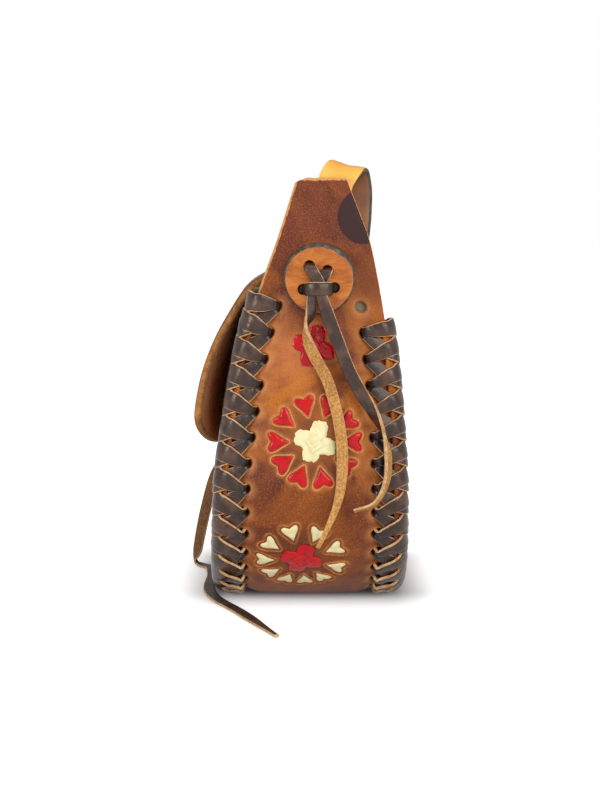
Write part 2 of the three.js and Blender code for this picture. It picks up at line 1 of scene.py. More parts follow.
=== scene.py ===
"""Tooled leather crossbody bag: its leather, lacing, buttons, thongs and strap around the fixed frame."""
import math

import bmesh
import bpy
import numpy as np
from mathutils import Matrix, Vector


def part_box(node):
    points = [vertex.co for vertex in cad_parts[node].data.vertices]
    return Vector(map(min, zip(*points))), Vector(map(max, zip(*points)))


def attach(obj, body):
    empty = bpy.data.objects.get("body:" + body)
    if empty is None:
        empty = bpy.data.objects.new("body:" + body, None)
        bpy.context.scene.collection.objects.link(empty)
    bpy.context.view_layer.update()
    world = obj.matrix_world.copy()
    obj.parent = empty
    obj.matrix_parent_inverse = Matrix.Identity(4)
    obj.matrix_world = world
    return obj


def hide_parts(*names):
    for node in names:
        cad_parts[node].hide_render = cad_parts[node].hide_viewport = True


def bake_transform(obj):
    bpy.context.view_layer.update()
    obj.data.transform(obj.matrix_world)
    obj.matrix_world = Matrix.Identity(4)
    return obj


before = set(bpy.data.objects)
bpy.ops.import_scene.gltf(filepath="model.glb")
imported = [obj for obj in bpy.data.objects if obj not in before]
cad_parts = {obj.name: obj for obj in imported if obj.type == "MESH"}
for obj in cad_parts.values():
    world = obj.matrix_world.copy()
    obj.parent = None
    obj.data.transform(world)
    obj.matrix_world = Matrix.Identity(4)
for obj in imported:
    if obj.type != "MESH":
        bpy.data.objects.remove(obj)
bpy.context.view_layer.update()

# Sizes, in millimetres. The overall ones come from the frame.
MM = 1000.0
GUSSET_HIGH = [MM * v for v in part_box("gusset")[1]]
END_X = GUSSET_HIGH[0]
TAB_TOP = GUSSET_HIGH[2]
PANEL_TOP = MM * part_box("front_panel")[1][2]
CORNER_RADIUS = 67.0
LEATHER = 3.4
PANEL_SETBACK = LEATHER + 0.3
CROWN = 6.5
FLANGE = 19.0
FLANGE_SHARE = 0.45
HALF_DEPTH = 42.5
TAB_HEIGHT = TAB_TOP - PANEL_TOP
# Height, and reach of the front and back edges in shares of half the depth, and share of the crown
SIDE_OUTLINE = np.array([
    (0, 1, 1, 1),
    (0.474 * PANEL_TOP, 0.918, 0.97, 1),
    (0.7 * PANEL_TOP, 0.795, 0.91, 1),
    (0.845 * PANEL_TOP, 0.7, 0.855, 0.8),
    (PANEL_TOP, 0.541, 0.765, 0.5),
    (PANEL_TOP + 0.45 * TAB_HEIGHT, 0.341, 0.654, 0),
    (TAB_TOP, 0.13, 0.395, 0),
])

FLAT_HALF = END_X - CORNER_RADIUS
WALL_START = FLAT_HALF + CORNER_RADIUS * math.pi / 2
RUN_TOP = WALL_START + TAB_TOP - CORNER_RADIUS
WALL = PANEL_TOP - CORNER_RADIUS
SEAM_TOP = WALL_START + WALL

# The gusset's tooled stretch, measured along it from its middle, and wear at the tabs' tops and edges
TOOLED_START = 84.0
TOOLED_END = 246.0
TAB_WEAR_REACH = 14.0
TAB_CORNER_WEAR = 2.6
TAB_CORNER_WIDTH = 5.0
FRAY_WIDTH = 3.0
# How much narrower the frayed border is at a tab's front and back edges than at its top
FRAY_FRONT = 1.25
FRAY_BACK = 5
TAB_EDGE_START = PANEL_TOP - 8
EDGE_ROUNDING = 0.9
EDGE_ROUNDING_WIDTH = 1.2

# Lacing holes
LACE_PITCH = 12.0
HOLE_INSET = 10.0
HOLE_RADIUS = 2.6
HOLE_DISH_WIDTH = 4.2
HOLES_PER_HALF = int(SEAM_TOP / LACE_PITCH)
# A hole in each leather: its pit's depth, where the pit's wall and its ring of painted shade end and their
# widths, the depth of the dish round it, and lighter rings, partly wear and partly a painted highlight on
# its rim, by amount, radius and width
GUSSET_HOLE = {"depth": 2.0, "wall": (HOLE_RADIUS + 0.3, 1.1), "dark": (HOLE_RADIUS + 0.2, 0.8), "dish": 0.8,
               "worn": [(0.6, 3.3, 0.6), (0.35, 4.2, 1.6)]}
PANEL_HOLE = {"depth": 1.8, "wall": (HOLE_RADIUS + 0.4, 1.4), "dark": (HOLE_RADIUS + 0.4, 1.0), "dish": 0.7,
              "worn": [(0.6, 3.8, 1.3)]}

# Waves of leather: height, then length and shift of each of two crossing waves
PANEL_WAVES = (0.35, (31, 0), (23, 1))
FLAP_WAVES = (0.5, (27, 0.6), (19, 0))
TAB_TOP_WAVES = (0.3, (1.3, 0), (2.9, 0))

# Lacing: where a value has two sides, -1 is the front seam and 1 the back one
SEAM_HOLES = {-1: HOLES_PER_HALF, 1: HOLES_PER_HALF - 1}
SEAM_ROUNDING = 3.0
LACE_WIDTH = {-1: 8.4, 1: 7.0}
LACE_SWELL = 1.4
LACE_NECK = 3.4
LACE_FAN = 9.0
LACE_FAN_POWER = 1.6
LACE_THICKNESS = 1.25
LACE_BEVEL = 0.92
LACE_STEP = 1.7
LACE_BULGE = 2.2
LACE_BULGE_REACH = 6.0
LACE_ASIDE = 1.0
LACE_TOP_CLIMB = 4.0
LACE_SPAN = HOLE_INSET + 0.6
LACE_DIVE = 4.6
# Across a seam, where and over what width a strand changes level, swells, and gets painted shade toward its
# holes
STEP_PLACE = (-2.4, 2.8)
SWELL_PLACE = (-1.5, 2.5)
HOLE_SHADE_PLACE = (5.5, 4.5)
# Shares of half a strand at which its ends turn down, and at which it starts to dive
LACE_BEND = 0.88
LACE_DIVE_START = 0.82
# How far a lower strand bows along the seam, and how slowly strands leave their holes, in shares of a climb
LACE_BOW = 0.3
LACE_EASE = 0.05
CORE_WIDTH = 8.0
CORE_LIFT = 1.4
TAIL_WIDTH = 6.0
TAIL_LENGTH = 8.6
TAIL_ACROSS = 2.5
TAIL_LIFT = 1.3
STRIP_GAP = 0.25

# Rosettes of hearts: distance along the gusset, place across it, the turn of each heart in degrees, the
# paint of the hearts and of the middle, the share of a heart that its paint fills, and its rim's offset
UPPER_TURNS = (0, 32, 69, 105, 143, 180, 213, 246, 281, 323)
LOWER_TURNS = (-18, 25, 65, 106, 145, 181, 215, 246, 275, 304)
ROSETTES = [
    {"at": WALL_START + 0.192 * WALL, "y": 2.9, "hearts": UPPER_TURNS, "ring": "red", "middle": "cream",
     "fill": 1.0, "rim": 0.75},
    {"at": FLAT_HALF + 0.578 * (WALL_START - FLAT_HALF), "y": -3.4, "hearts": LOWER_TURNS, "ring": "cream",
     "middle": "red", "fill": 0.9, "rim": 1.1},
    {"at": WALL_START + 0.705 * WALL, "y": 2.2, "hearts": (), "middle": "red"},
]
HEART_RING = 17.3
HEART_REACH = 10.0
# Right half of a heart, from its tip to its notch
HEART_HALF = [(0, -5.2), (2.1, -1.6), (4.2, 2.0), (4.3, 3.4), (3.2, 4.1), (1.5, 3.5), (0, 2.7)]
RIM_RADIUS = 0.4
RIM_LIFT = -0.05
ROSETTE_REACH = 24.0
SUNK_DEPTH = 0.5
GROUND_DEPTH = 0.45
# By distance from a sunk outline: where its wall starts, the walls' widths, the worn ridges' places and
# width and how worn they are, and where and over what width the ground goes down
SUNK_START = 0.2
MIDDLE_WALL = 0.8
HEART_WALL = 0.7
MIDDLE_RIDGE = 0.9
HEART_RIDGE = 1.1
RIDGE_WIDTH = 0.7
MIDDLE_WEAR = 0.3
HEART_WEAR = 0.45
GROUND_PLACE = (0.8, 0.9)
# The pressed ground's outer border, by distance from the rosette's middle: its end and width
GROUND_BORDER = (ROSETTE_REACH - 1, 5)
ARM_TILT = -0.12
ARM_LENGTH = 9.5
ARM_HALF_WIDTH = 3.7
ARM_SHIFT = -1.3
EMBOSS_TILT = 0.58
SPLASH_POINTS = 120
# Waves of a middle's outline: height, number round it, and share of the rosette's own shift
SPLASH_WAVES = [(0.35, 3, 1), (0.2, 23, 2), (0.15, 37, 0)]
# Rings of a patch of paint, in shares of its outline, and the level of its underside
PAINT_RINGS = [0.0, 0.1, 0.2, 0.3, 0.38, 0.46, 0.54, 0.62, 0.7, 0.78, 0.86, 0.93, 0.98, 1.0]
PAINT_FOOT = -1.0
# Its dome: level at the outline, rise to the middle, and the power by which it falls
HEART_DOME = (-0.25, 0.6, 4)
SPLASH_DOME = (-0.2, 0.65, 6)
# The tilted square on a middle: its height, half width and wall, and its groove's depth, place and width
SQUARE_HEIGHT = 0.7
SQUARE_PLACE = (3.9, 0.6)
GROOVE_DEPTH = 0.5
GROOVE_PLACE = 2.2
GROOVE_WIDTH = 0.5

# Back and flap
FLAP_HALF_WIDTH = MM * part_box("flap")[1][0]
FLAP_LEATHER = 4.0
FLAP_TIP_LENGTH = 22.0
FLAP_TIP_HALF_WIDTH = 14.0
FLAP_RISE = 2.0
FLAP_DISH = 4.0
FLAP_DISH_WIDTH = 0.5
FLAP_DISH_HEIGHT = 0.2
FLAP_FAR_DISH = 2.2
FLAP_FAR_START = 10.0
FLAP_FAR_WIDTH = 60.0
# Heights at which the back starts to narrow and its relief ends, and over what height
SHOULDER_PLACE = (PANEL_TOP - 14, 13)
BACK_TOP_PLACE = (PANEL_TOP - 5, 6)
FLAP_ROUNDING = 0.8
FLAP_ROUNDING_WIDTH = 2.0
# The flap's line, in shares of half the depth, and of the panels' height from their top
FLAP_LINE = [(0.612, 0.049), (0.141, 0.072), (-0.33, 0.067), (-0.635, 0.026), (-0.894, -0.072),
             (-1.094, -0.181), (-1.223, -0.306), (-1.261, -0.408), (-1.223, -0.474), (-1.188, -0.526)]

# Buttons and their ties
BUTTON_RADIUS = 16.0
BUTTON_THICKNESS = 5.6
BUTTON_ROUNDING = 1.4
BUTTON_Y = 0.11 * HALF_DEPTH
BUTTON_Z = PANEL_TOP + 0.114 * TAB_HEIGHT
BUTTON_GAP = 0.3
BUTTON_BACK_BEVEL = (0.8, 0.7)
BUTTON_HOLE_RADIUS = 2.2
BUTTON_HOLE_DEPTH = 4.4
# Charred rim: its inner radius, how softly it ends, and its wide part, in degrees and by how much
CHAR_START = 15.1
CHAR_FADE = 0.35
CHAR_TOP = 82
CHAR_TOP_WIDENING = 1.2
# Two chips in it: middle in degrees, width in radians and share. How far they widen it, their depth, and the
# radius at which they start and the width of their slope
CHIPS = [(52, 0.16, 1.0), (75, 0.07, 0.6)]
CHIP_WIDENING = 0.7
CHIP_DEPTH = 0.5
CHIP_PLACE = (13.4, 1.4)
BUTTON_HOLES = [(-4.5, 5.8), (3.7, 3.6), (-7.4, -4.8), (6.8, -4.1)]
TIE_WIDTH = 5.2
TIE_THICKNESS = 1.3
# By how much a tie's strip narrows in its hole, and off the bag's end where that ends and over what width
TIE_NARROWING = 1.4
TIE_NARROWING_PLACE = (5.2, 2.5)

# Thongs
LONG_WIDTH = 5.2
SHORT_WIDTH = 6.0
CLOSURE_WIDTH = 6.0
THONG_THICKNESS = 1.6
CLOSURE_THICKNESS = 1.2
THONG_DOME = 0.12
THONG_TAPER = 0.62
THONG_THINNING = 0.4
# A hanging thong's width under the tie, in shares of its own, and over what share of its way it widens
THONG_TOP_WIDTH = 0.8
THONG_TOP_REACH = 0.1
# Shares of the way at which a hanging thong narrows and thins, and at which the closure thong narrows
TAPER_START = 0.66
THINNING_START = 0.75
CLOSURE_TAPER_START = 0.84
# Hanging thongs from under the tie's band: distance off the bag's end, and place from the button's middle
LONG_THONG = [(7.0, -3.0, -5.4), (7.2, -3.5, -8.7), (7.2, -3.9, -15.8), (6.2, -6, -22.1), (5.2, -4.8, -28.9),
              (4.4, -1.3, -36.4), (3.8, 2.9, -44), (3.2, 6.9, -56), (2.7, 10.2, -73.5), (2.4, 10.6, -86),
              (2.4, 8.6, -101.7), (2.6, 4.6, -112.3), (2.9, -0.5, -122.9)]
SHORT_THONG = [(8.0, 0.3, -5.4), (8.8, 1.3, -8.7), (8.9, 3.6, -15.7), (7.8, 5.9, -22), (6.6, 8.7, -29.2),
               (5.4, 12.6, -39.5), (4.4, 18.5, -51), (3.5, 25.3, -61.8), (3, 30, -73), (2.9, 31.6, -83.5),
               (3, 29.9, -95), (3.3, 25.4, -102.3), (3.9, 15.9, -105.7)]
# Share of the way along each, and the turn of its face about the way there, in degrees
LONG_TWIST = ([0, 0.08, 0.135, 0.2, 0.26, 1], [0, -25, -90, -150, -180, -180])
SHORT_TWIST = ([0, 0.44, 0.56, 0.7, 1], [0, 0, 60, 115, 130])
# Closure thong: points, their place across in shares of half the depth, and the direction of its width
CLOSURE_THONG = [(-17, -0.896, 86), (-17, -0.922, 79), (-17, -0.952, 71.5), (-17.5, -1.06, 61),
                 (-18.5, -1.18, 49), (-20, -1.295, 31), (-21.5, -1.4, 9), (-21.5, -1.425, 2.6),
                 (-19, -1.36, 1.2), (-12, -1.23, 1.2), (0, -1.185, 1.2), (50, -1.14, 1.2),
                 (60, -1.085, 1.2), (92.4, -0.76, 1.2), (137.9, -0.337, 1.2)]
CLOSURE_ACROSS = [(1, 0, 0), (1, 0, 0), (1, 0, 0), (0.9, 0.4, 0), (0.4, 0.9, 0), (0.3, 1, 0), (0.6, 0.8, 0),
                  (1, 0.15, 0), (0.95, -0.3, 0), (0.7, -0.7, 0), (0, -1, 0), (0, -1, 0), (0.3, -1, 0),
                  (0.42, -1, 0), (0.42, -1, 0)]

# Shoulder strap
STRAP_WIDTH = 16.0
STRAP_THICKNESS = 3.0
# Over a tab: inset from the tab's inner face, place across, height from the tab's top, and its width's
# direction
STRAP_BEND = [(3, 3.2, -59), (2.8, 8.4, -28), (1.9, 10.9, -9), (2.5, 12.6, -0.5), (4.8, 15.6, 3.6),
              (8, 17.9, 4.7), (11.4, 19.6, 2.4), (12.9, 21, -4), (12.6, 21, -14), (9.8, 18.5, -38),
              (9.2, 15, -76), (8.8, 9, -115)]
STRAP_ACROSS = [(0, 0.98, -0.17)] * 2 + [(0, 0.98, -0.2)] + [(0, 0.97, -0.24)] * 4 + [(0, 0.98, -0.17)]
# Its folds on the bottom: share of the bag's half length, and height
STRAP_MIDDLE = 2.0
STRAP_FOLDS = [(0.865, 60), (0.78, 34), (0.63, 16), (0.46, 8.4), (0.27, 6.4), (-0.43, 6.8), (-0.515, 9.4),
               (-0.55, 13.4), (-0.515, 17.4), (-0.43, 18.4), (0.425, 18.4), (0.51, 19.4), (0.545, 23.4),
               (0.51, 27.6), (0.42, 28.6), (-0.42, 28.6), (-0.6, 31), (-0.76, 42), (-0.865, 62)]

# Outer grid lines of a sheet of leather for one of its inner grid
SHEET_STEP = 4

# Dye mark on the right-hand tab: its middle across and below the tab's top, and its half sizes
STAIN_PLACE = (24.2, 17.5)
STAIN_SIZE = (11.2, 12.2)

# Photograph's frame and viewpoint
IMAGE_HEIGHT = 798
FOCAL_PIXELS = 1545.0
CAMERA_PLACE = (END_X + 700.0, -4.0, 170.0)
CAMERA_PITCH = math.radians(5.46)

# Stage, in metres and watts
FLOOR_HALF = 6.0
FLOOR_GREY = 0.62
# The floor's glow, its loss by the bag, which paints a shadow round the bag's real one, and its rise far
# off, each with its distances in millimetres, and how much sooner it changes sideways
GLOW = 0.76
GLOW_LOSS = 0.74
GLOW_LOSS_PLACE = (48, 0)
GLOW_RISE = 0.25
GLOW_RISE_PLACE = (30, 250)
GLOW_SQUEEZE = 1.8
ROOM_LIGHT = 0.21
# Lamps: name, place, aim, size and power
LAMPS = [
    ("left", (1.0, -1.0, 0.45), (0.1, 0, 0.1), 0.5, 9.2),
    ("right", (1.0, 1.0, 0.45), (0.1, 0, 0.1), 0.5, 6.2),
    ("front", (1.4, 0.5, 0.6), (0.1, 0, 0.1), 0.6, 6.6),
    ("top", (0.2, 0.0, 1.6), (0.05, 0, 0.1), 1.2, 4.6),
]


# Meshes

class Piece:
    """One mesh in the making: points in millimetres, faces, each face's finish, and named point values."""

    def __init__(self):
        self.points = []
        self.faces = []
        self.finishes = []
        self.values = {}
        self.count = 0

    def add_points(self, points, **values):
        """Adds a block of points, each with its named values, and returns the number of the first."""
        points = np.asarray(points, float).reshape(-1, 3)
        first = self.count
        self.points.append(points)
        self.count += len(points)
        for name in values:
            self.values.setdefault(name, []).append((first, np.ravel(values[name])))
        return first

    def add_faces(self, faces, finish=0):
        """Adds faces given as rows of point numbers, with one finish for all or one for each."""
        faces = np.asarray(faces)
        self.faces.extend(map(tuple, faces.tolist()))
        self.finishes.extend(np.broadcast_to(finish, len(faces)).tolist())

    def add_grid(self, points, finish=0, wrap=False, loop=False, **values):
        """Adds a grid of rows by columns as four-sided faces, and returns its point numbers.

        Its columns are joined round if wrap is set, and its rows if loop is."""
        rows, columns = points.shape[:2]
        first = self.add_points(points, **values)
        number = first + np.arange(rows * columns).reshape(rows, columns)
        if wrap:
            number = np.concatenate([number, number[:, :1]], axis=1)
        if loop:
            number = np.concatenate([number, number[:1]])
        faces = np.stack([number[:-1, :-1], number[:-1, 1:], number[1:, 1:], number[1:, :-1]], axis=-1)
        self.add_faces(faces.reshape(-1, 4), np.broadcast_to(finish, faces.shape[:2]).ravel())
        return number

    def add_fan(self, ring, tip, finish=0):
        """Closes a ring, whose last point is its first, with triangles that meet at a tip."""
        number = self.add_points(tip)
        self.add_faces(np.stack([np.full(len(ring) - 1, number), ring[:-1], ring[1:]], axis=1), finish)

    def add_sheet(self, outer, inner, **values):
        """Adds a closed sheet: an outer grid, a coarser inner one and a rim, with finishes 0, 1 and 2."""
        top = self.add_grid(outer, 0, outer=np.ones(outer.shape[:2]), **values)
        below = self.add_grid(inner[:, ::-1], 1)[:, ::-1]
        borders = [
            (top[0], below[0]),
            (top[:, -1], below[:, -1]),
            (top[-1][::-1], below[-1][::-1]),
            (top[::-1, 0], below[::-1, 0]),
        ]
        for fine, coarse in borders:
            first = SHEET_STEP * np.arange(len(coarse) - 1)[:, None]
            edge = fine[first + np.arange(SHEET_STEP, -1, -1)]
            self.add_faces(np.concatenate([edge, coarse[:-1, None], coarse[1:, None]], axis=1), 2)

    def add_band(self, sections, finishes, **values):
        """Adds a closed band: rings of points along a path, each with its values, and a cap at each end."""
        repeated = {name: np.repeat(values[name], sections.shape[1]) for name in values}
        rings = self.add_grid(sections, np.asarray(finishes)[None, :], wrap=True, **repeated)[:, :-1]
        self.add_faces([rings[0][::-1], rings[-1]], finishes[-1])

    def build(self, name, finishes, body="bag", crease=None):
        """Makes the object, at the origin, its faces turned outwards and smooth up to the crease angle."""
        points = np.concatenate(self.points) / MM
        mesh = bpy.data.meshes.new(name)
        mesh.from_pydata(points.tolist(), [], self.faces)
        for finish in finishes:
            mesh.materials.append(finish)
        mesh.polygons.foreach_set("material_index", self.finishes)
        for key, blocks in self.values.items():
            full = np.zeros(self.count, np.float32)
            for first, block in blocks:
                full[first:first + len(block)] = block
            mesh.attributes.new(key, "FLOAT", "POINT").data.foreach_set("value", full)
        work = bmesh.new()
        work.from_mesh(mesh)
        bmesh.ops.recalc_face_normals(work, faces=work.faces)
        work.to_mesh(mesh)
        work.free()
        mesh.shade_smooth()
        if crease:
            mesh.set_sharp_from_angle(angle=math.radians(crease))
        piece = bpy.data.objects.new(name, mesh)
        bpy.context.scene.collection.objects.link(piece)
        if body:
            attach(piece, body)
        return piece


def smooth_step(value):
    """Rises from 0 to 1 with level ends as value goes from 0 to 1."""
    t = np.clip(value, 0, 1)
    return t * t * (3 - 2 * t)


def step_at(value, start, width):
    """A smooth step from 0 to 1 that begins at a start and takes a width."""
    return smooth_step((value - start) / width)


def step_down(value, end, width):
    """A smooth step from 1 to 0 that takes a width and ends at an end."""
    return smooth_step((end - value) / width)


def toward_end(share, start):
    """0 up to a share of the way, then a smooth step to 1 at its end."""
    return step_at(share, start, 1 - start)


def hump(value, width):
    """A bell of height 1 about zero."""
    return np.exp(-((value / width) ** 2))


def unit(vectors):
    """Vectors of length 1."""
    return vectors / np.linalg.norm(vectors, axis=-1, keepdims=True)


def distance_along(line):
    """Distance of each point of a line from the first, along it."""
    return np.concatenate([[0], np.cumsum(np.linalg.norm(np.diff(line, axis=0), axis=1))])


def between(at, knots, values):
    """Rows of values at places along a line: straight from knot to knot."""
    return np.stack([np.interp(at, knots, column) for column in np.asarray(values, float).T], axis=1)


def through(points, count):
    """A smooth line through points, evenly spaced: cubics, the slope at a point from its neighbours."""
    p = np.asarray(points, float)
    knots = distance_along(p)
    slope = np.gradient(p, knots, axis=0)
    fine = np.linspace(0, knots[-1], 40 * len(p))
    k = np.clip(np.searchsorted(knots, fine, side="right") - 1, 0, len(p) - 2)
    h = (knots[k + 1] - knots[k])[:, None]
    t = ((fine - knots[k]) / h[:, 0])[:, None]
    line = ((1 + 2 * t) * (1 - t) ** 2 * p[k] + t * (1 - t) ** 2 * h * slope[k]
            + t * t * (3 - 2 * t) * p[k + 1] + t * t * (t - 1) * h * slope[k + 1])
    length = distance_along(line)
    return between(np.linspace(0, length[-1], count), length, line)


def band_sections(centre, across, width, thickness, dome=0.25, bevel=0.9):
    """Rings of a flat strip along a path: its width lies along across, its thickness square to both.

    Its faces are domed, and bevelled at a share of its half width."""
    along = unit(np.gradient(centre, axis=0))
    across = np.asarray(across, float)
    across = unit(across - np.sum(across * along, axis=1, keepdims=True) * along)
    up = np.cross(along, across)
    width = np.broadcast_to(width, len(centre))
    thickness = np.broadcast_to(thickness, len(centre))
    side = np.array([-1, -bevel, -0.6, -0.2, 0.2, 0.6, bevel, 1])
    level = np.array([0.3, 0.5, 0.5, 0.5, 0.5, 0.5, 0.5, 0.3]) + dome * (1 - side ** 2)
    side = np.concatenate([side, side[::-1]])
    level = np.concatenate([level, -level[::-1]])
    return (centre[:, None] + across[:, None] * (side[None, :, None] * width[:, None, None] / 2)
            + up[:, None] * (level[None, :, None] * thickness[:, None, None]))


# The faces of a strip's ring: its upper face, one cut edge, its lower face and the other cut edge
STRIP_FACES = [2, 0, 0, 0, 0, 0, 2, 2, 2, 1, 1, 1, 1, 1, 2, 2]
# The same with one cut edge dyed, and of a strap whose edge dye shows on its inner face
DYED_FACES = [0, 0, 0, 0, 0, 0, 2, 2, 2, 1, 1, 1, 1, 1, 1, 0]
STRAP_FACES = [2, 0, 0, 0, 0, 0, 2, 2, 1, 1, 1, 1, 1, 1, 1, 2]


# The gusset's run, along the bottom, round the corners and up the ends

def softened(column, scale):
    """A column of the side outline by height, with its bends rounded: the mean over a window of heights."""
    margin = 20
    window = 61
    heights = SIDE_OUTLINE[:, 0]
    values = scale * SIDE_OUTLINE[:, column]
    fine = np.linspace(-margin, TAB_TOP + margin, 1025)
    slopes = np.diff(values) / np.diff(heights)
    line = np.interp(fine, heights, values)
    line = line + np.minimum(fine, 0) * slopes[0] + np.maximum(fine - TAB_TOP, 0) * slopes[-1]
    mean = np.convolve(line, np.ones(window) / window, "same")
    beyond = (fine < 0) | (fine > TAB_TOP)
    mean[beyond] = line[beyond]
    return fine, mean


FRONT_LINE = softened(1, HALF_DEPTH)
BACK_LINE = softened(2, HALF_DEPTH)
DROP_LINE = softened(3, CROWN)


def edge_at(side, height):
    """Place across the bag of the front (-1) or back (1) edge at a height."""
    return side * np.interp(height, *(FRONT_LINE if side < 0 else BACK_LINE))


def drop_at(height):
    """How far the gusset's edges lie below its crown, at a height."""
    return np.interp(height, *DROP_LINE)


def run(distance):
    """Outside of the gusset by distance from its middle: flat, then a quarter circle, then a wall."""
    distance = np.asarray(distance, float)
    side = np.where(distance < 0, -1.0, 1.0)
    far = np.abs(distance)
    turn = np.clip((far - FLAT_HALF) / CORNER_RADIUS, 0, np.pi / 2)
    x = np.minimum(far, FLAT_HALF) + CORNER_RADIUS * np.sin(turn)
    z = CORNER_RADIUS * (1 - np.cos(turn)) + np.maximum(far - WALL_START, 0)
    return side * x, z, side * np.sin(turn), -np.cos(turn)


def gusset_edges(distance):
    """Place across the bag of the gusset's front and back edges, at the height to which they drop."""
    _, z, _, out_z = run(distance)
    height = z - out_z * drop_at(z)
    return edge_at(-1, height), edge_at(1, height)


def fall(share):
    """1 at the edge and 0 past the flange, in a straight line with a rounded foot."""
    foot = 0.3
    rounded = np.clip(1 + foot - share, 0, 2 * foot) ** 2 / (4 * foot)
    return np.where(share < 1 - foot, 1 - share, rounded)


def flange_width(front, back):
    """Width of the gusset's sloping flanges, from the places across of its edges."""
    return np.minimum(FLANGE, FLANGE_SHARE * (back - front))


def on_gusset(distance, y, lift):
    """A point on the gusset's outer face: the run, let down toward both edges, plus a lift outwards."""
    x, z, out_x, out_z = run(distance)
    front, back = gusset_edges(distance)
    inset = np.minimum(y - front, back - y)
    rise = lift - drop_at(z) * fall(inset / flange_width(front, back))
    return np.stack(np.broadcast_arrays(x + out_x * rise, y, z + out_z * rise), axis=-1)


def hole_distance(distance, y):
    """Distance from the nearest lacing hole of either edge, measured on the gusset's face."""
    front, back = gusset_edges(distance)
    index = np.clip(np.round(np.abs(distance) / LACE_PITCH - 0.5), 0, HOLES_PER_HALF - 1)
    along = np.abs(distance) - (index + 0.5) * LACE_PITCH
    inset = np.minimum(y - front, back - y)
    return np.hypot(along, inset - HOLE_INSET)


# Tooled ornament

def heart_outline(count):
    """A heart, its tip at -v: a smooth line through the points of its right half, and its mirror image."""
    right = through(HEART_HALF, count // 2 + 1)
    return np.concatenate([right[:-1], right[:0:-1] * np.array([-1, 1])])


def splash_outline(rosette):
    """The blocky pinwheel in a rosette's middle: at each angle the farthest reach of four bars.

    The bars are a quarter turn apart, each set a little to one side. A mean over near angles rounds the
    corners, and three sines make the line uneven, each rosette's in its own way."""
    wobble = 1.0 + rosette["y"]
    t = np.linspace(0, 2 * np.pi, SPLASH_POINTS, endpoint=False)
    local = t[None] - ARM_TILT - np.arange(4)[:, None] * np.pi / 2
    c = np.cos(local)
    s = np.sin(local)
    side = (ARM_HALF_WIDTH + ARM_SHIFT * np.sign(s)) / np.maximum(np.abs(s), 1e-6)
    reach = np.where(c > 0, np.minimum(ARM_LENGTH / np.maximum(c, 1e-6), side), 0).max(axis=0)
    reach = np.convolve(np.concatenate([reach[-3:], reach, reach[:3]]), np.ones(7) / 7, "valid")
    for height, count, shift in SPLASH_WAVES:
        reach = reach + height * np.sin(count * t + shift * wobble)
    return np.stack([reach * np.cos(t), reach * np.sin(t)], axis=1)


def signed_distance(points, outline):
    """Distance of points from a closed outline, below zero inside it, by its segments and crossings."""
    start = outline
    end = np.roll(outline, -1, axis=0)
    p = points[:, None]
    span = end - start
    share = np.clip(np.sum((p - start) * span, axis=2) / np.sum(span * span, axis=1), 0, 1)
    gap = np.linalg.norm(p - start - share[..., None] * span, axis=2).min(axis=1)
    low = start[:, 1]
    crosses = (low > p[..., 1]) != (end[:, 1] > p[..., 1])
    at = start[:, 0] + (p[..., 1] - low) * span[:, 0] / np.where(span[:, 1] == 0, 1e-9, span[:, 1])
    inside = np.sum(crosses & (p[..., 0] < at), axis=1) % 2 == 1
    return np.where(inside, -gap, gap)


def heart_places(rosette):
    """Turn and place of each heart of a rosette, their tips toward its middle."""
    for turn in np.radians(rosette["hearts"]):
        yield turn - np.pi / 2, HEART_RING * np.array([np.cos(turn), np.sin(turn)])


def turned(points, angle):
    """Flat points turned counterclockwise about the origin by an angle."""
    c = np.cos(angle)
    s = np.sin(angle)
    return points @ np.array([[c, s], [-s, c]])


def on_rosette(rosette, end, spots, lift):
    """Points on the gusset from places about a rosette's middle, across and along, on one end of the bag."""
    return on_gusset(end * (rosette["at"] + spots[..., 1]), rosette["y"] + spots[..., 0], lift)


def tooling(rosette, local):
    """Relief, wear and pressed ground about one rosette: sunk hearts and middle on a ground pressed down."""
    reach = np.linalg.norm(local, axis=1)
    middle = signed_distance(local, splash_outline(rosette))
    relief = -SUNK_DEPTH * step_down(middle, SUNK_START, MIDDLE_WALL)
    if not rosette["hearts"]:
        return relief, MIDDLE_WEAR * hump(middle - MIDDLE_RIDGE, RIDGE_WIDTH), np.zeros(len(local))
    nearest = np.full(len(local), ROSETTE_REACH)
    for angle, place in heart_places(rosette):
        close = np.linalg.norm(local - place, axis=1) < HEART_REACH
        gap = signed_distance(turned(local[close] - place, -angle), heart_outline(48))
        nearest[close] = np.minimum(nearest[close], gap)
    ground = step_down(reach, *GROUND_BORDER) * step_at(nearest, *GROUND_PLACE)
    sunk = -SUNK_DEPTH * step_down(nearest, SUNK_START, HEART_WALL)
    worn = HEART_WEAR * hump(nearest - HEART_RIDGE, RIDGE_WIDTH)
    return relief - GROUND_DEPTH * ground + sunk, worn, ground


# Leather pieces

def punched(gap, hole):
    """Relief, painted shade and lighter rings, partly wear and partly a painted highlight, about a lacing
    hole by distance from its middle: a pit in a shallow dish.
    """
    relief = -hole["depth"] * step_down(gap, *hole["wall"]) - hole["dish"] * hump(gap, HOLE_DISH_WIDTH)
    worn = sum(wear * hump(gap - radius, width) for wear, radius, width in hole["worn"])
    return relief, step_down(gap, *hole["dark"]), worn


def waves(a, b, height, first, second):
    """Two crossing waves, one by each of two places."""
    return height * np.sin(a / first[0] + first[1]) * np.sin(b / second[0] + second[1])


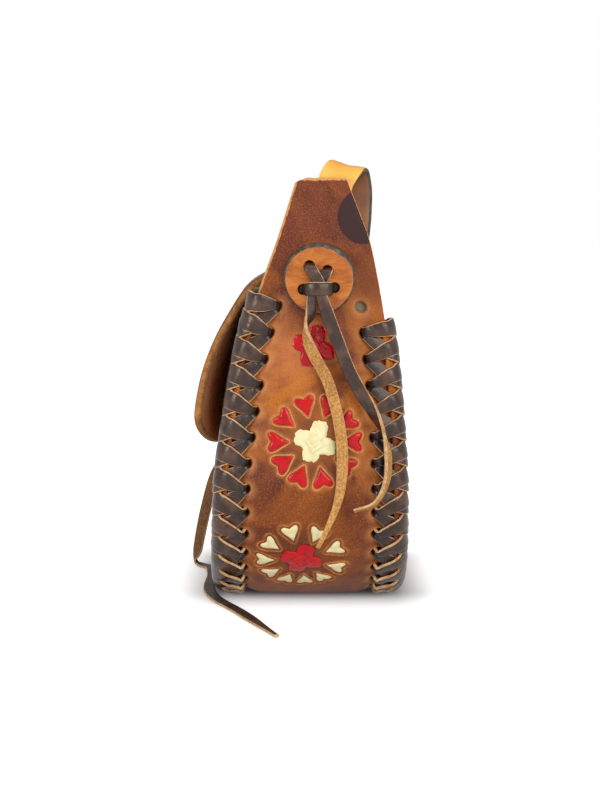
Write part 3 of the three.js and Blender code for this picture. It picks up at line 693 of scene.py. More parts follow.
def gusset_grid():
    """Distance along the gusset, place across it and its edges, on a grid that is finest where it is tooled.

    The tabs' tops are worn down at the front corner by a square law, and are a little uneven."""
    stretches = [(0, TOOLED_START, 28), (TOOLED_START, TOOLED_END, 232), (TOOLED_END, RUN_TOP, 40)]
    half = np.concatenate([np.linspace(*ends, endpoint=False) for ends in stretches] + [[RUN_TOP]])
    share = np.linspace(0, 1, 121)
    s = np.repeat(np.concatenate([-half[:0:-1], half])[:, None], len(share), axis=1)
    front, back = gusset_edges(s)
    y = front + share * (back - front)
    near_top = step_at(np.abs(s), RUN_TOP - TAB_WEAR_REACH, TAB_WEAR_REACH)
    corner = TAB_CORNER_WEAR * np.clip(1 - (y - front) / TAB_CORNER_WIDTH, 0, 1) ** 2
    s = s - np.sign(s) * near_top * (corner + waves(y, y, *TAB_TOP_WAVES))
    front, back = gusset_edges(s)
    return s, front + share * (back - front), front, back


def make_gusset(finishes):
    """The gusset: its grid with pits at the holes, the tooled rosettes, and frayed and rounded tab edges."""
    s, y, front, back = gusset_grid()
    relief, pit, worn = punched(hole_distance(s, y), GUSSET_HOLE)
    # The spare hole's pit is painted with the pale backdrop seen through the hole: a painted view of light.
    spare = pit * (np.abs(s) > (HOLES_PER_HALF - 1) * LACE_PITCH) * (y > 0)
    ground = np.zeros_like(s)
    for rosette in ROSETTES:
        for end in (-1, 1):
            local = np.stack([y - rosette["y"], end * s - rosette["at"]], axis=-1)
            near = np.linalg.norm(local, axis=-1) < ROSETTE_REACH + 2
            height, wear, pressed = tooling(rosette, local[near])
            relief[near] += height
            worn[near] = np.maximum(worn[near], wear)
            ground[near] = np.maximum(ground[near], pressed)
    upright = step_at(run(s)[1], TAB_EDGE_START, PANEL_TOP - TAB_EDGE_START)
    to_top = np.abs(RUN_TOP - np.abs(s))
    ragged = np.minimum(np.minimum(FRAY_FRONT * (y - front), FRAY_BACK * (back - y)), to_top)
    frayed = step_down(ragged, FRAY_WIDTH, FRAY_WIDTH) * upright
    to_edge = np.minimum(np.minimum(y - front, back - y), to_top)
    rounding = EDGE_ROUNDING * step_down(to_edge, EDGE_ROUNDING_WIDTH, EDGE_ROUNDING_WIDTH)
    outer = on_gusset(s, y, relief - rounding * upright)
    inner = on_gusset(s[::SHEET_STEP, ::SHEET_STEP], y[::SHEET_STEP, ::SHEET_STEP], -LEATHER)
    piece = Piece()
    piece.add_sheet(outer, inner, worn=worn, pit=pit - spare, spare=spare, frayed=frayed, ground=ground)
    gusset = piece.build("tooled_gusset", finishes, crease=50)
    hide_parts("gusset")


def embossing(spots):
    """Lift of a raised, tilted square with a groove in it, by place from its middle."""
    tilted = turned(spots.reshape(-1, 2), -EMBOSS_TILT).reshape(spots.shape)
    square = np.abs(tilted).max(axis=-1)
    groove = GROOVE_DEPTH * hump(square - GROOVE_PLACE, GROOVE_WIDTH)
    return SQUARE_HEIGHT * step_down(square, *SQUARE_PLACE) - groove


def paint_patch(piece, outline, place, rosette, end, dome, embossed, finish):
    """One patch of thick paint: rings from middle to outline, domed, perhaps embossed, and an underside."""
    share = np.array(PAINT_RINGS + [1.0])[:, None]
    spots = outline * share[..., None]
    level, rise, power = dome
    lift = level + rise * (1 - share ** power) + embossed * embossing(spots)
    lift[-1] = PAINT_FOOT
    rings = piece.add_grid(on_rosette(rosette, end, spots[1:] + place, lift[1:]), finish, wrap=True)
    piece.add_fan(rings[0], on_rosette(rosette, end, place, lift[0].mean()), finish)
    piece.add_fan(rings[-1], on_rosette(rosette, end, place, PAINT_FOOT), finish)


def heart_rim(piece, place, angle, rosette, end, finish):
    """The raised line round a heart: a thin ring of round section, set off from the heart square to it."""
    outline = heart_outline(56)
    along = unit(np.roll(outline, -1, axis=0) - np.roll(outline, 1, axis=0))
    outward = np.stack([along[:, 1], -along[:, 0]], axis=1)
    turn = np.linspace(0, 2 * np.pi, 8, endpoint=False)
    offset = rosette["rim"] + RIM_RADIUS * np.cos(turn)
    spots = outline[:, None] + outward[:, None] * offset[None, :, None]
    spots = turned(spots.reshape(-1, 2), angle).reshape(spots.shape) + place
    lift = RIM_LIFT + RIM_RADIUS * np.sin(turn)
    piece.add_grid(on_rosette(rosette, end, spots, lift), finish, wrap=True, loop=True)


def make_paint(finishes):
    """The painted hearts and middles of both ends: domed patches in the sunk shapes, and hearts' rims."""
    piece = Piece()
    order = {"red": 0, "cream": 1}
    for rosette in ROSETTES:
        for end in (-1, 1):
            splash = splash_outline(rosette)
            colour = order[rosette["middle"]]
            paint_patch(piece, splash, np.zeros(2), rosette, end, SPLASH_DOME, True, colour)
            for angle, place in heart_places(rosette):
                colour = order[rosette["ring"]]
                heart = turned(heart_outline(40) * rosette["fill"], angle)
                paint_patch(piece, heart, place, rosette, end, HEART_DOME, False, colour)
                heart_rim(piece, place, angle, rosette, end, 2 + colour)
    paint = piece.build("rosette_paint", finishes, crease=60)


def spread(half, y, z, shares):
    """Rows of points at places across the bag and heights, with columns in shares of a row's half width."""
    return np.stack(np.broadcast_arrays(half[:, None] * shares, y[:, None], z[:, None]), axis=-1)


def panel_grid(side, stations, shares):
    """A panel's outer face: rows at the heights of its outline, columns in shares of its half width."""
    x, z, out_x, out_z = run(stations)
    set_back = drop_at(z) + PANEL_SETBACK
    height = z - out_z * set_back
    return spread(x - out_x * set_back, edge_at(side, height), height, shares)


def panel_holes(side):
    """Middles of a panel's lacing holes, along the bag and up it."""
    count = SEAM_HOLES[side]
    x, z, out_x, out_z = run((np.arange(-count, count) + 0.5) * LACE_PITCH)
    set_back = drop_at(z) + HOLE_INSET
    return np.stack([x - out_x * set_back, z - out_z * set_back], axis=1)


def panel_relief(points, side):
    """Relief, painted shade and lighter rings, partly wear and partly a painted highlight, of a panel: pits
    at the lacing holes, and slow waves of worked leather.
    """
    spots = points[..., [0, 2]].reshape(-1, 1, 2)
    gap = np.linalg.norm(spots - panel_holes(side)[None], axis=2).min(axis=1).reshape(points.shape[:2])
    relief, pit, worn = punched(gap, PANEL_HOLE)
    return waves(points[..., 0], points[..., 2], *PANEL_WAVES) + relief, pit, worn


def make_front_panel(finishes):
    """The front panel: its grid with the holes' pits, and a plain inner face."""
    flat = panel_grid(-1, np.linspace(FLAT_HALF, SEAM_TOP, 121), np.linspace(-1, 1, 201))
    relief, pit, worn = panel_relief(flat, -1)
    outer = flat + np.array([0, -1, 0]) * relief[..., None]
    inner = flat[::SHEET_STEP, ::SHEET_STEP] + np.array([0, LEATHER, 0])
    piece = Piece()
    piece.add_sheet(outer, inner, pit=pit, worn=worn)
    panel = piece.build("front_leather", finishes, crease=50)
    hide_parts("front_panel")


def flap_grid(shares):
    """The flap's rows along its line, from the top of the back: of full width, then of an ellipse's."""
    top_y = float(edge_at(1, PANEL_TOP))
    rest = [(share * HALF_DEPTH, (1 + rise) * PANEL_TOP) for share, rise in FLAP_LINE]
    line = through([(top_y, PANEL_TOP), (top_y, PANEL_TOP + FLAP_RISE)] + rest, 400)
    length = distance_along(line)
    straight = length[-1] - FLAP_TIP_LENGTH
    last_turn = math.acos(FLAP_TIP_HALF_WIDTH / FLAP_HALF_WIDTH)
    turn = np.linspace(0, last_turn, 41)
    full = np.linspace(0, straight, 89)[:-1]
    tip = straight + FLAP_TIP_LENGTH * np.sin(turn) / np.sin(last_turn)
    half = FLAP_HALF_WIDTH * np.concatenate([np.ones(len(full)), np.cos(turn)])
    y, z = between(np.concatenate([full, tip]), length, line).T
    return spread(half, y, z, shares)


def make_back_and_flap(finishes):
    """The back and the flap, one sheet: the back's grid, narrowed at its top, and the flap's.

    Where the flap hangs it is dished inwards, deeper at its left-hand side. Its face has slow waves, and its
    edges are rounded."""
    shares = np.linspace(-1, 1, 161)
    back = panel_grid(1, np.linspace(FLAT_HALF, SEAM_TOP, 97)[:-1], shares)
    sheet = np.concatenate([back, flap_grid(shares)])
    on_flap = np.arange(len(sheet))[:, None] >= len(back)
    shoulder = np.where(on_flap, 0, step_at(sheet[..., 2], *SHOULDER_PLACE))
    sheet[..., 0] *= 1 + shoulder * (FLAP_HALF_WIDTH / np.abs(sheet[:, -1:, 0]) - 1)
    along = unit(np.gradient(sheet[:, len(shares) // 2, 1:], axis=0))
    outward = np.stack([np.zeros(len(along)), along[:, 1], -along[:, 0]], axis=1)[:, None]
    x = sheet[..., 0]
    hanging = step_down(sheet[..., 2], PANEL_TOP, FLAP_DISH_HEIGHT * PANEL_TOP) * on_flap
    from_side = (FLAP_HALF_WIDTH - np.abs(x)) / ((1 - FLAP_DISH_WIDTH) * FLAP_HALF_WIDTH)
    far_side = step_at(-x, FLAP_FAR_START, FLAP_FAR_WIDTH)
    dish = hanging * (FLAP_DISH * np.clip(from_side, 0, 1) + FLAP_FAR_DISH * far_side)
    sheet = sheet - outward * dish[..., None]
    z = sheet[..., 2]
    relief, pit, worn = panel_relief(sheet, 1)
    on_back = np.where(on_flap, 0, step_down(z, *BACK_TOP_PLACE))
    to_edge = np.abs(x[:, -1:]) - np.abs(x)
    rounding = FLAP_ROUNDING * step_down(to_edge, FLAP_ROUNDING_WIDTH, FLAP_ROUNDING_WIDTH)
    lift = relief * on_back + (waves(x, z, *FLAP_WAVES) - rounding) * (1 - on_back)
    wall = np.where(on_flap, FLAP_LEATHER, LEATHER)[..., None]
    piece = Piece()
    piece.add_sheet(sheet + outward * lift[..., None], (sheet - outward * wall)[::SHEET_STEP, ::SHEET_STEP],
                    pit=pit * on_back, worn=worn * on_back)
    leather = piece.build("back_and_flap", finishes, body=None, crease=50)
    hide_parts("back_panel", "flap")
    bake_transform(leather)


# Lacing

def seam_point(side, distance, across, lift):
    """A point on a seam, at a distance along it and a lift off the leather.

    Across is measured from the corner: below zero on the gusset, above zero on the panel, and between them
    round an arc that touches both."""
    x, z, out_x, out_z = run(distance)
    drop = drop_at(z)
    front, back = gusset_edges(distance)
    slope = np.arctan2(drop, flange_width(front, back))
    corner_y = edge_at(side, z - out_z * drop)
    span = np.pi / 2 - slope
    tangent = SEAM_ROUNDING * np.tan(span / 2)
    arc = SEAM_ROUNDING * span
    on_face = np.minimum(across + arc / 2, 0)
    on_panel = np.maximum(across - arc / 2, 0)
    angle = slope + np.clip((across + arc / 2) / arc, 0, 1) * span
    radius = SEAM_ROUNDING + lift
    centre_y = -(tangent * np.cos(slope) + SEAM_ROUNDING * np.sin(slope))
    centre_out = tangent * np.sin(slope) - SEAM_ROUNDING * np.cos(slope)
    along_y = centre_y + radius * np.sin(angle) + on_face * np.cos(slope)
    along_out = centre_out + radius * np.cos(angle) - on_face * np.sin(slope) - on_panel
    rise = along_out - drop
    return np.stack([x + out_x * rise, corner_y + side * along_y, z + out_z * rise], axis=-1)


def strand(piece, side, half, start, end, over):
    """One strand of lace, out of a hole on the gusset, over the corner and into a hole on the panel.

    It climbs along the seam by its share of the way across, less a whole sine, plus half a sine if it lies
    below, and fans out from each hole. Each of its edges lies on the leather, or a step higher on the strand
    below: the over strand's upper edge steps down at the corner, and there the under strand's lower edge
    steps up. It bulges at the corner, and its ends bend down into the holes. Where they go straight down,
    its edges keep the direction that they had at the bend."""
    reach = np.linspace(-1, 1, 45)
    across = np.sign(reach) * LACE_SPAN * np.minimum(np.abs(reach) / LACE_BEND, 1)
    travel = (across / LACE_SPAN + 1) / 2
    bow = 0.0 if over else LACE_BOW
    climb = travel + bow * np.sin(np.pi * travel) - LACE_EASE * np.sin(2 * np.pi * travel)
    distance = start + (end - start) * climb
    dive = toward_end(np.abs(reach), LACE_DIVE_START)
    past = step_at(across, *STEP_PLACE)
    upper = LACE_STEP * (1 - past) * over
    lower = LACE_STEP * (past + (1 - past) * over)
    bulge = LACE_BULGE * hump(across, LACE_BULGE_REACH)
    lift = STRIP_GAP + LACE_THICKNESS / 2 + (upper + lower) / 2 + bulge - LACE_DIVE * dive
    fan = 1 - (1 - np.clip((LACE_SPAN - np.abs(across)) / LACE_FAN, 0, 1)) ** LACE_FAN_POWER
    swell = LACE_SWELL * step_at(across, *SWELL_PLACE)
    width = LACE_NECK + (LACE_WIDTH[side] - LACE_NECK + swell) * fan
    centre = seam_point(side, distance, across, lift)
    along = unit(np.gradient(centre, axis=0))
    outward = unit(seam_point(side, distance, across, lift + 1.0) - centre)
    tilt = side * half * (lower - upper) / 2
    bent = int(np.sum(reach < -LACE_BEND))
    kept = np.clip(np.arange(len(reach)), bent, len(reach) - 1 - bent)
    edge = np.cross(outward, along)[kept] * width[:, None] / 2 - outward * tilt[:, None]
    sections = band_sections(centre, edge, width, LACE_THICKNESS, bevel=LACE_BEVEL)
    # Painted shade: the strand darkens toward its holes.
    piece.add_band(sections, STRIP_FACES, deep=step_at(np.abs(across), *HOLE_SHADE_PLACE))


def seam_run(piece, side, along, across, lift, width, finish):
    """A strand along a seam, at one place across it and one lift, under the strands that cross."""
    centre = seam_point(side, along, across, lift)
    outward = unit(seam_point(side, along, across, lift + 1.0) - centre)
    edge = np.cross(outward, np.gradient(centre, axis=0))
    piece.add_band(band_sections(centre, edge, width, LACE_THICKNESS), [finish] * len(STRIP_FACES))


def make_lacing(side, finishes):
    """A seam's cross lacing: at each pair of holes one strand lies over the other, alike on both halves.

    A strand runs along the seam under them, and at the front a tail is tucked in above the top one."""
    piece = Piece()
    count = SEAM_HOLES[side]
    last = (count - 0.5) * LACE_PITCH
    for half in (-1, 1):
        for k in range(count - 1):
            low = half * ((k + 0.5) * LACE_PITCH + LACE_ASIDE)
            high = half * ((k + 1.5) * LACE_PITCH - LACE_ASIDE)
            strand(piece, side, half, low, high, True)
            strand(piece, side, half, high, low, False)
        strand(piece, side, half, half * (last + LACE_ASIDE), half * (last + LACE_TOP_CLIMB), True)
        if side < 0:
            tail = half * (last + np.linspace(0, TAIL_LENGTH, 14))
            seam_run(piece, side, tail, TAIL_ACROSS, TAIL_LIFT, TAIL_WIDTH, 0)
        middle = half * (LACE_PITCH / 2 - LACE_ASIDE)
        strand(piece, side, 1, -middle, middle, half > 0)
    seam_run(piece, side, np.linspace(-1, 1, 261) * last, 0.0, CORE_LIFT, CORE_WIDTH, 3)
    seam = "front" if side < 0 else "back"
    lacing = piece.build(f"{seam}_lacing", finishes, crease=40)
    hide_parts(f"{seam}_lace_a", f"{seam}_lace_b")


# Buttons, ties and thongs

def make_button(end, name, finishes):
    """A turned disc: rings from the middle of its face round the edge to its back, with pits for four holes.

    Its charred rim is wider at the top and chipped there."""
    turn = np.linspace(0, np.pi / 2, 9)[1:]
    face = np.linspace(0, BUTTON_RADIUS - BUTTON_ROUNDING, 46)[1:]
    round_radius = BUTTON_RADIUS - BUTTON_ROUNDING * (1 - np.sin(turn))
    round_level = BUTTON_THICKNESS - BUTTON_ROUNDING * (1 - np.cos(turn))
    inset, bevel = BUTTON_BACK_BEVEL
    radius = np.concatenate([face, round_radius, [BUTTON_RADIUS, BUTTON_RADIUS - inset]])[:, None]
    level = np.concatenate([np.full(len(face), BUTTON_THICKNESS), round_level, [bevel, 0.0]])[:, None]
    angle = np.linspace(0, 2 * np.pi, 168, endpoint=False)
    y = radius * np.cos(angle)
    z = radius * np.sin(angle)
    gap = np.min([np.hypot(y - hole_y, z - hole_z) for hole_y, hole_z in BUTTON_HOLES], axis=0)
    pit = step_down(gap, BUTTON_HOLE_RADIUS + 0.25, 0.5)
    chip = sum(share * hump(angle - math.radians(middle), width) for middle, width, share in CHIPS)
    top = hump(angle - math.radians(CHAR_TOP), 1.0)
    rim = step_at(radius + CHAR_TOP_WIDENING * top + CHIP_WIDENING * chip, CHAR_START, CHAR_FADE)
    sunk = BUTTON_HOLE_DEPTH * pit + CHIP_DEPTH * chip * step_at(radius, *CHIP_PLACE)
    x = end * (END_X + BUTTON_GAP + level - sunk * (level > 1))
    piece = Piece()
    rings = piece.add_grid(np.stack([x, y + BUTTON_Y, z + BUTTON_Z], axis=-1), wrap=True, rim=rim, pit=pit)
    for ring, height in ((rings[0], BUTTON_THICKNESS), (rings[-1], 0.0)):
        piece.add_fan(ring, [end * (END_X + BUTTON_GAP + height), BUTTON_Y, BUTTON_Z])
    button = piece.build(f"{name}_wooden_button", finishes)
    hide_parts(f"{name}_button")


def make_tie(end, name, finishes):
    """The lace that sews a button on: two strips down from the upper holes, and a wider band over them.

    Points are distances off the bag's end and places from the button's middle. Each strip narrows in its
    hole."""
    hole = 1.5
    face = BUTTON_GAP + BUTTON_THICKNESS + STRIP_GAP + TIE_THICKNESS / 2
    (ay, az), (by, bz), (cy, cz), (dy, dz) = BUTTON_HOLES
    low = (cz + dz) / 2
    right_strip = [(hole, by, bz + 0.4), (4.6, by, bz + 0.3), (face, by - 0.6, bz - 0.6), (face, 0.6, -1.2),
                   (face, -1.9, -4.8)]
    left_strip = [(hole, ay, az + 0.4), (4.6, ay, az + 0.3), (face + 0.2, ay + 0.4, az - 0.8),
                  (face + 1.0, -0.8, -0.6), (face + 0.6, 0.9, -4.8)]
    band = [(hole, cy + 0.9, cz), (4.8, cy + 1.2, cz), (face + 0.9, cy + 2.2, low - 0.1),
            (face + 2.4, -2.8, low), (face + 2.4, 2.2, low), (face + 0.9, dy - 2.2, low - 0.1),
            (4.8, dy - 1.2, dz), (hole, dy - 0.9, dz)]
    sideways = (0.0, 1.0, 0.0)
    upward = (0.0, 0.0, 1.0)
    piece = Piece()
    strips = ((right_strip, sideways, 0.0), (left_strip, sideways, 0.0), (band, upward, 0.8))
    for points, across, widening in strips:
        centre = through(np.array(points) + np.array([END_X, BUTTON_Y, BUTTON_Z]), 41)
        width = TIE_WIDTH + widening - TIE_NARROWING * step_down(centre[:, 0] - END_X, *TIE_NARROWING_PLACE)
        centre[:, 0] *= end
        directions = end * np.broadcast_to(across, centre.shape)
        piece.add_band(band_sections(centre, directions, width, TIE_THICKNESS), DYED_FACES)
    tie = piece.build(f"{name}_tie", finishes, crease=40)
    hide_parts(f"{name}_button_tie")


def declare_thong(node):
    """Hides the solid that a thong stands for."""
    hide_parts(node)


def hanging_thong(name, end, offsets, twist, full, faces, finishes):
    """A hanging thong: a strip along its route, its face turned about the route by an angle at each point.

    It widens from under the tie, and its lower part is cut narrower and thinner toward the end."""
    centre = through(np.array(offsets) + np.array([END_X, BUTTON_Y, BUTTON_Z]), 61)
    share = np.linspace(0, 1, len(centre))
    angle = np.radians(np.interp(share, *twist))[:, None]
    along = unit(np.gradient(centre, axis=0))
    across = unit(np.cross(np.array([1.0, 0, 0]), along))
    across = across * np.cos(angle) + np.cross(along, across) * np.sin(angle)
    taper = 1 - THONG_TAPER * toward_end(share, TAPER_START)
    top = THONG_TOP_WIDTH + (1 - THONG_TOP_WIDTH) * step_at(share, 0, THONG_TOP_REACH)
    width = full * top * taper
    thickness = THONG_THICKNESS * (1 - THONG_THINNING * toward_end(share, THINNING_START))
    centre[:, 0] *= end
    across[:, 0] *= end
    piece = Piece()
    piece.add_band(band_sections(centre, across * end, width, thickness, dome=THONG_DOME), faces)
    thong = piece.build(f"{name}_strip", finishes, crease=40)
    declare_thong(name)


def make_closure(finishes):
    """The closure thong: a strip from under the flap down to the floor, its width turning with the route."""
    points = np.array(CLOSURE_THONG) * np.array([1, HALF_DEPTH, 1])
    knots = distance_along(points)
    centre = through(points, 141)
    share = np.linspace(0, 1, len(centre))
    across = between(share * knots[-1], knots, CLOSURE_ACROSS)
    width = CLOSURE_WIDTH * (1 - THONG_TAPER * toward_end(share, CLOSURE_TAPER_START))
    piece = Piece()
    piece.add_band(band_sections(centre, across, width, CLOSURE_THICKNESS, dome=THONG_DOME), STRIP_FACES)
    thong = piece.build("closure_strip", finishes, crease=40)
    declare_thong("closure_thong")


def make_strap(finishes):
    """The shoulder strap: one strip from tab to tab, over each tab's top and in folds on the bottom."""
    level = (0, 1, 0)
    bend = [(END_X - LEATHER - inset, y, TAB_TOP + z) for inset, y, z in STRAP_BEND]
    across = STRAP_ACROSS + [level] * (len(bend) - len(STRAP_ACROSS))
    folds = [(share * END_X, STRAP_MIDDLE, z) for share, z in STRAP_FOLDS]
    far_bend = [(-x, y, z) for x, y, z in bend[::-1]]
    points = np.array(bend + folds + far_bend)
    knots = distance_along(points)
    centre = through(points, 561)
    places = np.linspace(0, knots[-1], len(centre))
    directions = between(places, knots, across + [level] * len(folds) + across[::-1])
    sections = band_sections(centre, directions, STRAP_WIDTH, STRAP_THICKNESS, dome=0.05, bevel=0.84)
    piece = Piece()
    piece.add_band(sections, STRAP_FACES)
    strap = piece.build("strap_leather_band", finishes, crease=40)
    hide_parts("shoulder_strap")


# Finishes

def rgb(red, green, blue):
    """A screen colour of 0 to 255 as linear light."""
    share = np.array([red, green, blue]) / 255
    linear = np.where(share <= 0.04045, share / 12.92, ((share + 0.055) / 1.055) ** 2.4)
    return (*linear.tolist(), 1.0)


class Finish:
    """A material in the making: short calls that add nodes and return the socket to use next."""

    def __init__(self, name, roughness=0.5, specular=0.5):
        self.material = bpy.data.materials.new(name)
        self.material.use_nodes = True
        self.tree = self.material.node_tree
        self.shader = self.tree.nodes["Principled BSDF"]
        self.shader.inputs["Roughness"].default_value = roughness
        self.shader.inputs["Specular IOR Level"].default_value = specular
        self.place = self.node("ShaderNodeTexCoord").outputs["Object"]

    def node(self, kind, **inputs):
        """A new node, its inputs set to values or joined to sockets."""
        made = self.tree.nodes.new(kind)
        for name, value in inputs.items():
            self.put(made.inputs[name.replace("_", " ")], value)
        return made

    def put(self, socket, value):
        """Joins a socket to another, or sets it to a value."""
        if isinstance(value, bpy.types.NodeSocket):
            self.tree.links.new(value, socket)
        else:
            socket.default_value = value

    def axes(self):
        """A point's place along the bag, across it and up it, in metres, as X, Y and Z."""
        return self.node("ShaderNodeSeparateXYZ", Vector=self.place).outputs

    def noise(self, size, detail=3.0, rough=0.55, distortion=0.0, stretch=None):
        """Cloudy noise whose patches are about size millimetres, or stretched along the axes."""
        place = self.place
        if stretch:
            place = self.node("ShaderNodeMapping", Vector=place, Scale=stretch).outputs["Vector"]
        return self.node("ShaderNodeTexNoise", Vector=place, Scale=MM / size, Detail=detail, Roughness=rough,
                         Distortion=distortion).outputs["Fac"]

    def value(self, name):
        """A named value of the piece's points."""
        made = self.node("ShaderNodeAttribute")
        made.attribute_name = name
        return made.outputs["Fac"]

    def reckon(self, operation, a, b=0.0):
        """One step of arithmetic on sockets or numbers."""
        made = self.tree.nodes.new("ShaderNodeMath")
        made.operation = operation
        self.put(made.inputs[0], a)
        self.put(made.inputs[1], b)
        return made.outputs[0]

    def sum(self, a, b):
        return self.reckon("ADD", a, b)

    def times(self, a, b):
        return self.reckon("MULTIPLY", a, b)

    def band(self, value, low, high):
        """0 at low, 1 at high and smooth between, also where high is below low."""
        made = self.node("ShaderNodeMapRange", Value=value)
        made.interpolation_type = "SMOOTHSTEP"
        made.inputs["From Min"].default_value = low
        made.inputs["From Max"].default_value = high
        return made.outputs["Result"]

    def reach(self, value, low, high):
        """The same, with both ends in millimetres, for a value in metres."""
        return self.band(value, low / MM, high / MM)

    def mix(self, share, a, b):
        """Colour a with a share of colour b."""
        made = self.tree.nodes.new("ShaderNodeMix")
        made.data_type = "RGBA"
        self.put(made.inputs[0], share)
        self.put(made.inputs[6], a)
        self.put(made.inputs[7], b)
        return made.outputs[2]

    def ramp(self, value, *stops):
        """Colours by value, from (value, colour) stops."""
        made = self.node("ShaderNodeValToRGB", Fac=value)
        stop = made.color_ramp.elements
        while len(stop) < len(stops):
            stop.new(0.5)
        for element, (at, colour) in zip(stop, stops):
            element.position = at
            element.color = colour
        return made.outputs["Color"]

    def bump(self, height, depth):
        """Surface relief of depth millimetres for a height from 0 to 1, on top of what is there."""
        made = self.node("ShaderNodeBump", Height=height, Strength=1.0, Distance=depth / MM)
        old = self.shader.inputs["Normal"]
        if old.is_linked:
            self.tree.links.new(old.links[0].from_socket, made.inputs["Normal"])
        self.put(old, made.outputs["Normal"])

    def done(self, colour, roughness=None):
        """The material, with its colour, and its roughness where that varies."""
        self.put(self.shader.inputs["Base Color"], colour)
        if roughness is not None:
            self.put(self.shader.inputs["Roughness"], roughness)
        return self.material


def tooled_leather(name, stained=False):
    """Hand-dyed leather: broad dark and golden clouds, fine speckle, lighter worn high spots and hole rims,
    the rims partly a painted highlight, and painted shade in the pits.

    It is darker near the floor and high on the tabs. The gusset's is paler beside the top ornament toward
    the front and darker there toward the back, and has a dye mark on one tab and frayed, pale tab edges."""
    f = Finish(name, specular=0.2)
    broad = f.noise(46, 3, 0.5)
    blotch = f.noise(13, 4, 0.6, 0.4)
    speck = f.noise(0.65, 2, 0.7)
    tone = f.sum(f.times(broad, 0.5), f.times(blotch, 0.5))
    colour = f.ramp(tone, (0.37, rgb(68, 28, 20)), (0.49, rgb(116, 56, 32)), (0.63, rgb(160, 86, 46)))
    golden = f.band(f.noise(30, 3, 0.6, 0.6), 0.46, 0.62)
    colour = f.mix(f.times(golden, 0.8), colour, rgb(200, 114, 36))
    axes = f.axes()
    high = f.times(f.reach(axes["Z"], 136, 158), 0.6)
    low = f.times(f.reach(axes["Z"], 105, 45), 0.66)
    colour = f.mix(f.sum(high, low), colour, rgb(98, 42, 25))
    colour = f.mix(f.times(f.band(speck, 0.52, 0.70), 0.5), colour, rgb(190, 118, 54))
    colour = f.mix(f.times(f.band(speck, 0.47, 0.30), 0.55), colour, rgb(56, 28, 19))
    # Lighter worn ridges and hole rims; round the holes this is partly a painted highlight.
    worn = f.times(f.value("worn"), f.sum(0.55, f.times(blotch, 0.6)))
    colour = f.mix(worn, colour, rgb(216, 142, 84))
    colour = f.mix(f.times(f.value("ground"), 0.4), colour, rgb(112, 64, 34))
    if stained:
        waist = f.times(f.reach(axes["Z"], 104, 124), blotch)
        front = f.times(f.reach(axes["Z"], 146, 130), f.reach(axes["Y"], 16, 0))
        colour = f.mix(f.times(f.times(waist, front), 0.62), colour, rgb(222, 138, 74))
        back = f.times(f.reach(axes["Y"], 6, 22), f.sum(0.25, blotch))
        colour = f.mix(f.times(f.times(waist, 0.9), back), colour, rgb(100, 46, 29))
        colour = f.mix(f.times(tab_stain(f, axes), 0.93), colour, rgb(42, 24, 28))
        ragged = f.sum(f.value("frayed"), f.times(f.sum(f.noise(2.0, 4, 0.7), -0.5), 1.3))
        colour = f.mix(f.band(ragged, 0.52, 0.72), colour, rgb(212, 152, 88))
    # Painted shade in the holes' pits.
    colour = f.mix(f.value("pit"), colour, rgb(22, 14, 11))
    # Painted light: the pale backdrop seen through the spare hole.
    colour = f.mix(f.value("spare"), colour, rgb(118, 112, 92))
    f.bump(f.noise(2.6, 3), 0.16)
    f.bump(speck, 0.10)
    return f.done(colour, f.sum(0.36, f.times(speck, 0.28)))


def tab_stain(f, axes):
    """Share of the dye mark on the right-hand tab's back edge: a half round, by distance from its middle."""
    place, below_top = STAIN_PLACE
    half_width, half_height = STAIN_SIZE
    wave = f.times(f.sum(f.noise(7, 2), -0.5), 0.16)
    across = f.times(f.sum(axes["Y"], -place / MM), MM / half_width)
    up = f.times(f.sum(axes["Z"], (below_top - TAB_TOP) / MM), MM / half_height)
    round_off = f.sum(f.sum(f.times(across, across), f.times(up, up)), wave)
    return f.times(f.band(round_off, 1.08, 0.94), f.reach(axes["X"], 50, 60))


def flesh_leather(name, light, dark):
    """The rough inner side of leather: fibres and specks."""
    f = Finish(name, 0.9)
    speck = f.noise(0.9, 3, 0.75)
    broad = f.noise(14, 3)
    colour = f.mix(f.band(f.sum(f.times(speck, 0.75), f.times(broad, 0.3)), 0.40, 0.66), dark, light)
    f.bump(speck, 0.3)
    return f.done(colour)


def cut_edge(name, light, dark, inner=None):
    """A raw cut edge: short fibres in light and dark specks, and a sheet's with its inner side's colour."""
    f = Finish(name, 0.85)
    speck = f.noise(0.7, 3, 0.8)
    blotch = f.noise(4, 3)
    colour = f.mix(f.band(f.sum(f.times(speck, 0.6), f.times(blotch, 0.4)), 0.38, 0.62), dark, light)
    if inner:
        colour = f.mix(f.band(f.sum(f.value("outer"), f.times(blotch, 0.5)), 0.95, 0.3), colour, inner)
    f.bump(speck, 0.25)
    return f.done(colour)


def lace_grain(name, base, light, roughness=0.2):
    """Dark grain lace with a polish: faint patches, fine creases, a little wear, and painted shade toward
    its holes.
    """
    f = Finish(name, specular=0.34)
    patch = f.noise(8, 3)
    crease = f.noise(1.6, 3, 0.65)
    colour = f.mix(f.times(f.band(patch, 0.40, 0.68), 0.7), base, light)
    colour = f.mix(f.times(f.band(crease, 0.62, 0.78), 0.35), colour, rgb(112, 84, 70))
    # Painted shade toward the holes.
    colour = f.mix(f.times(f.value("deep"), 0.75), colour, rgb(18, 12, 10))
    f.bump(crease, 0.06)
    f.bump(f.noise(6, 2), 0.4)
    return f.done(colour, f.sum(roughness, f.times(crease, 0.2)))


def glossy_paint(name, base, deep):
    """Thick brushed paint: a wet shine, slightly uneven in colour and height."""
    f = Finish(name, 0.22, 0.25)
    stroke = f.noise(3.2, 3)
    colour = f.mix(f.times(f.band(stroke, 0.42, 0.66), 0.55), base, deep)
    f.bump(stroke, 0.22)
    return f.done(colour)


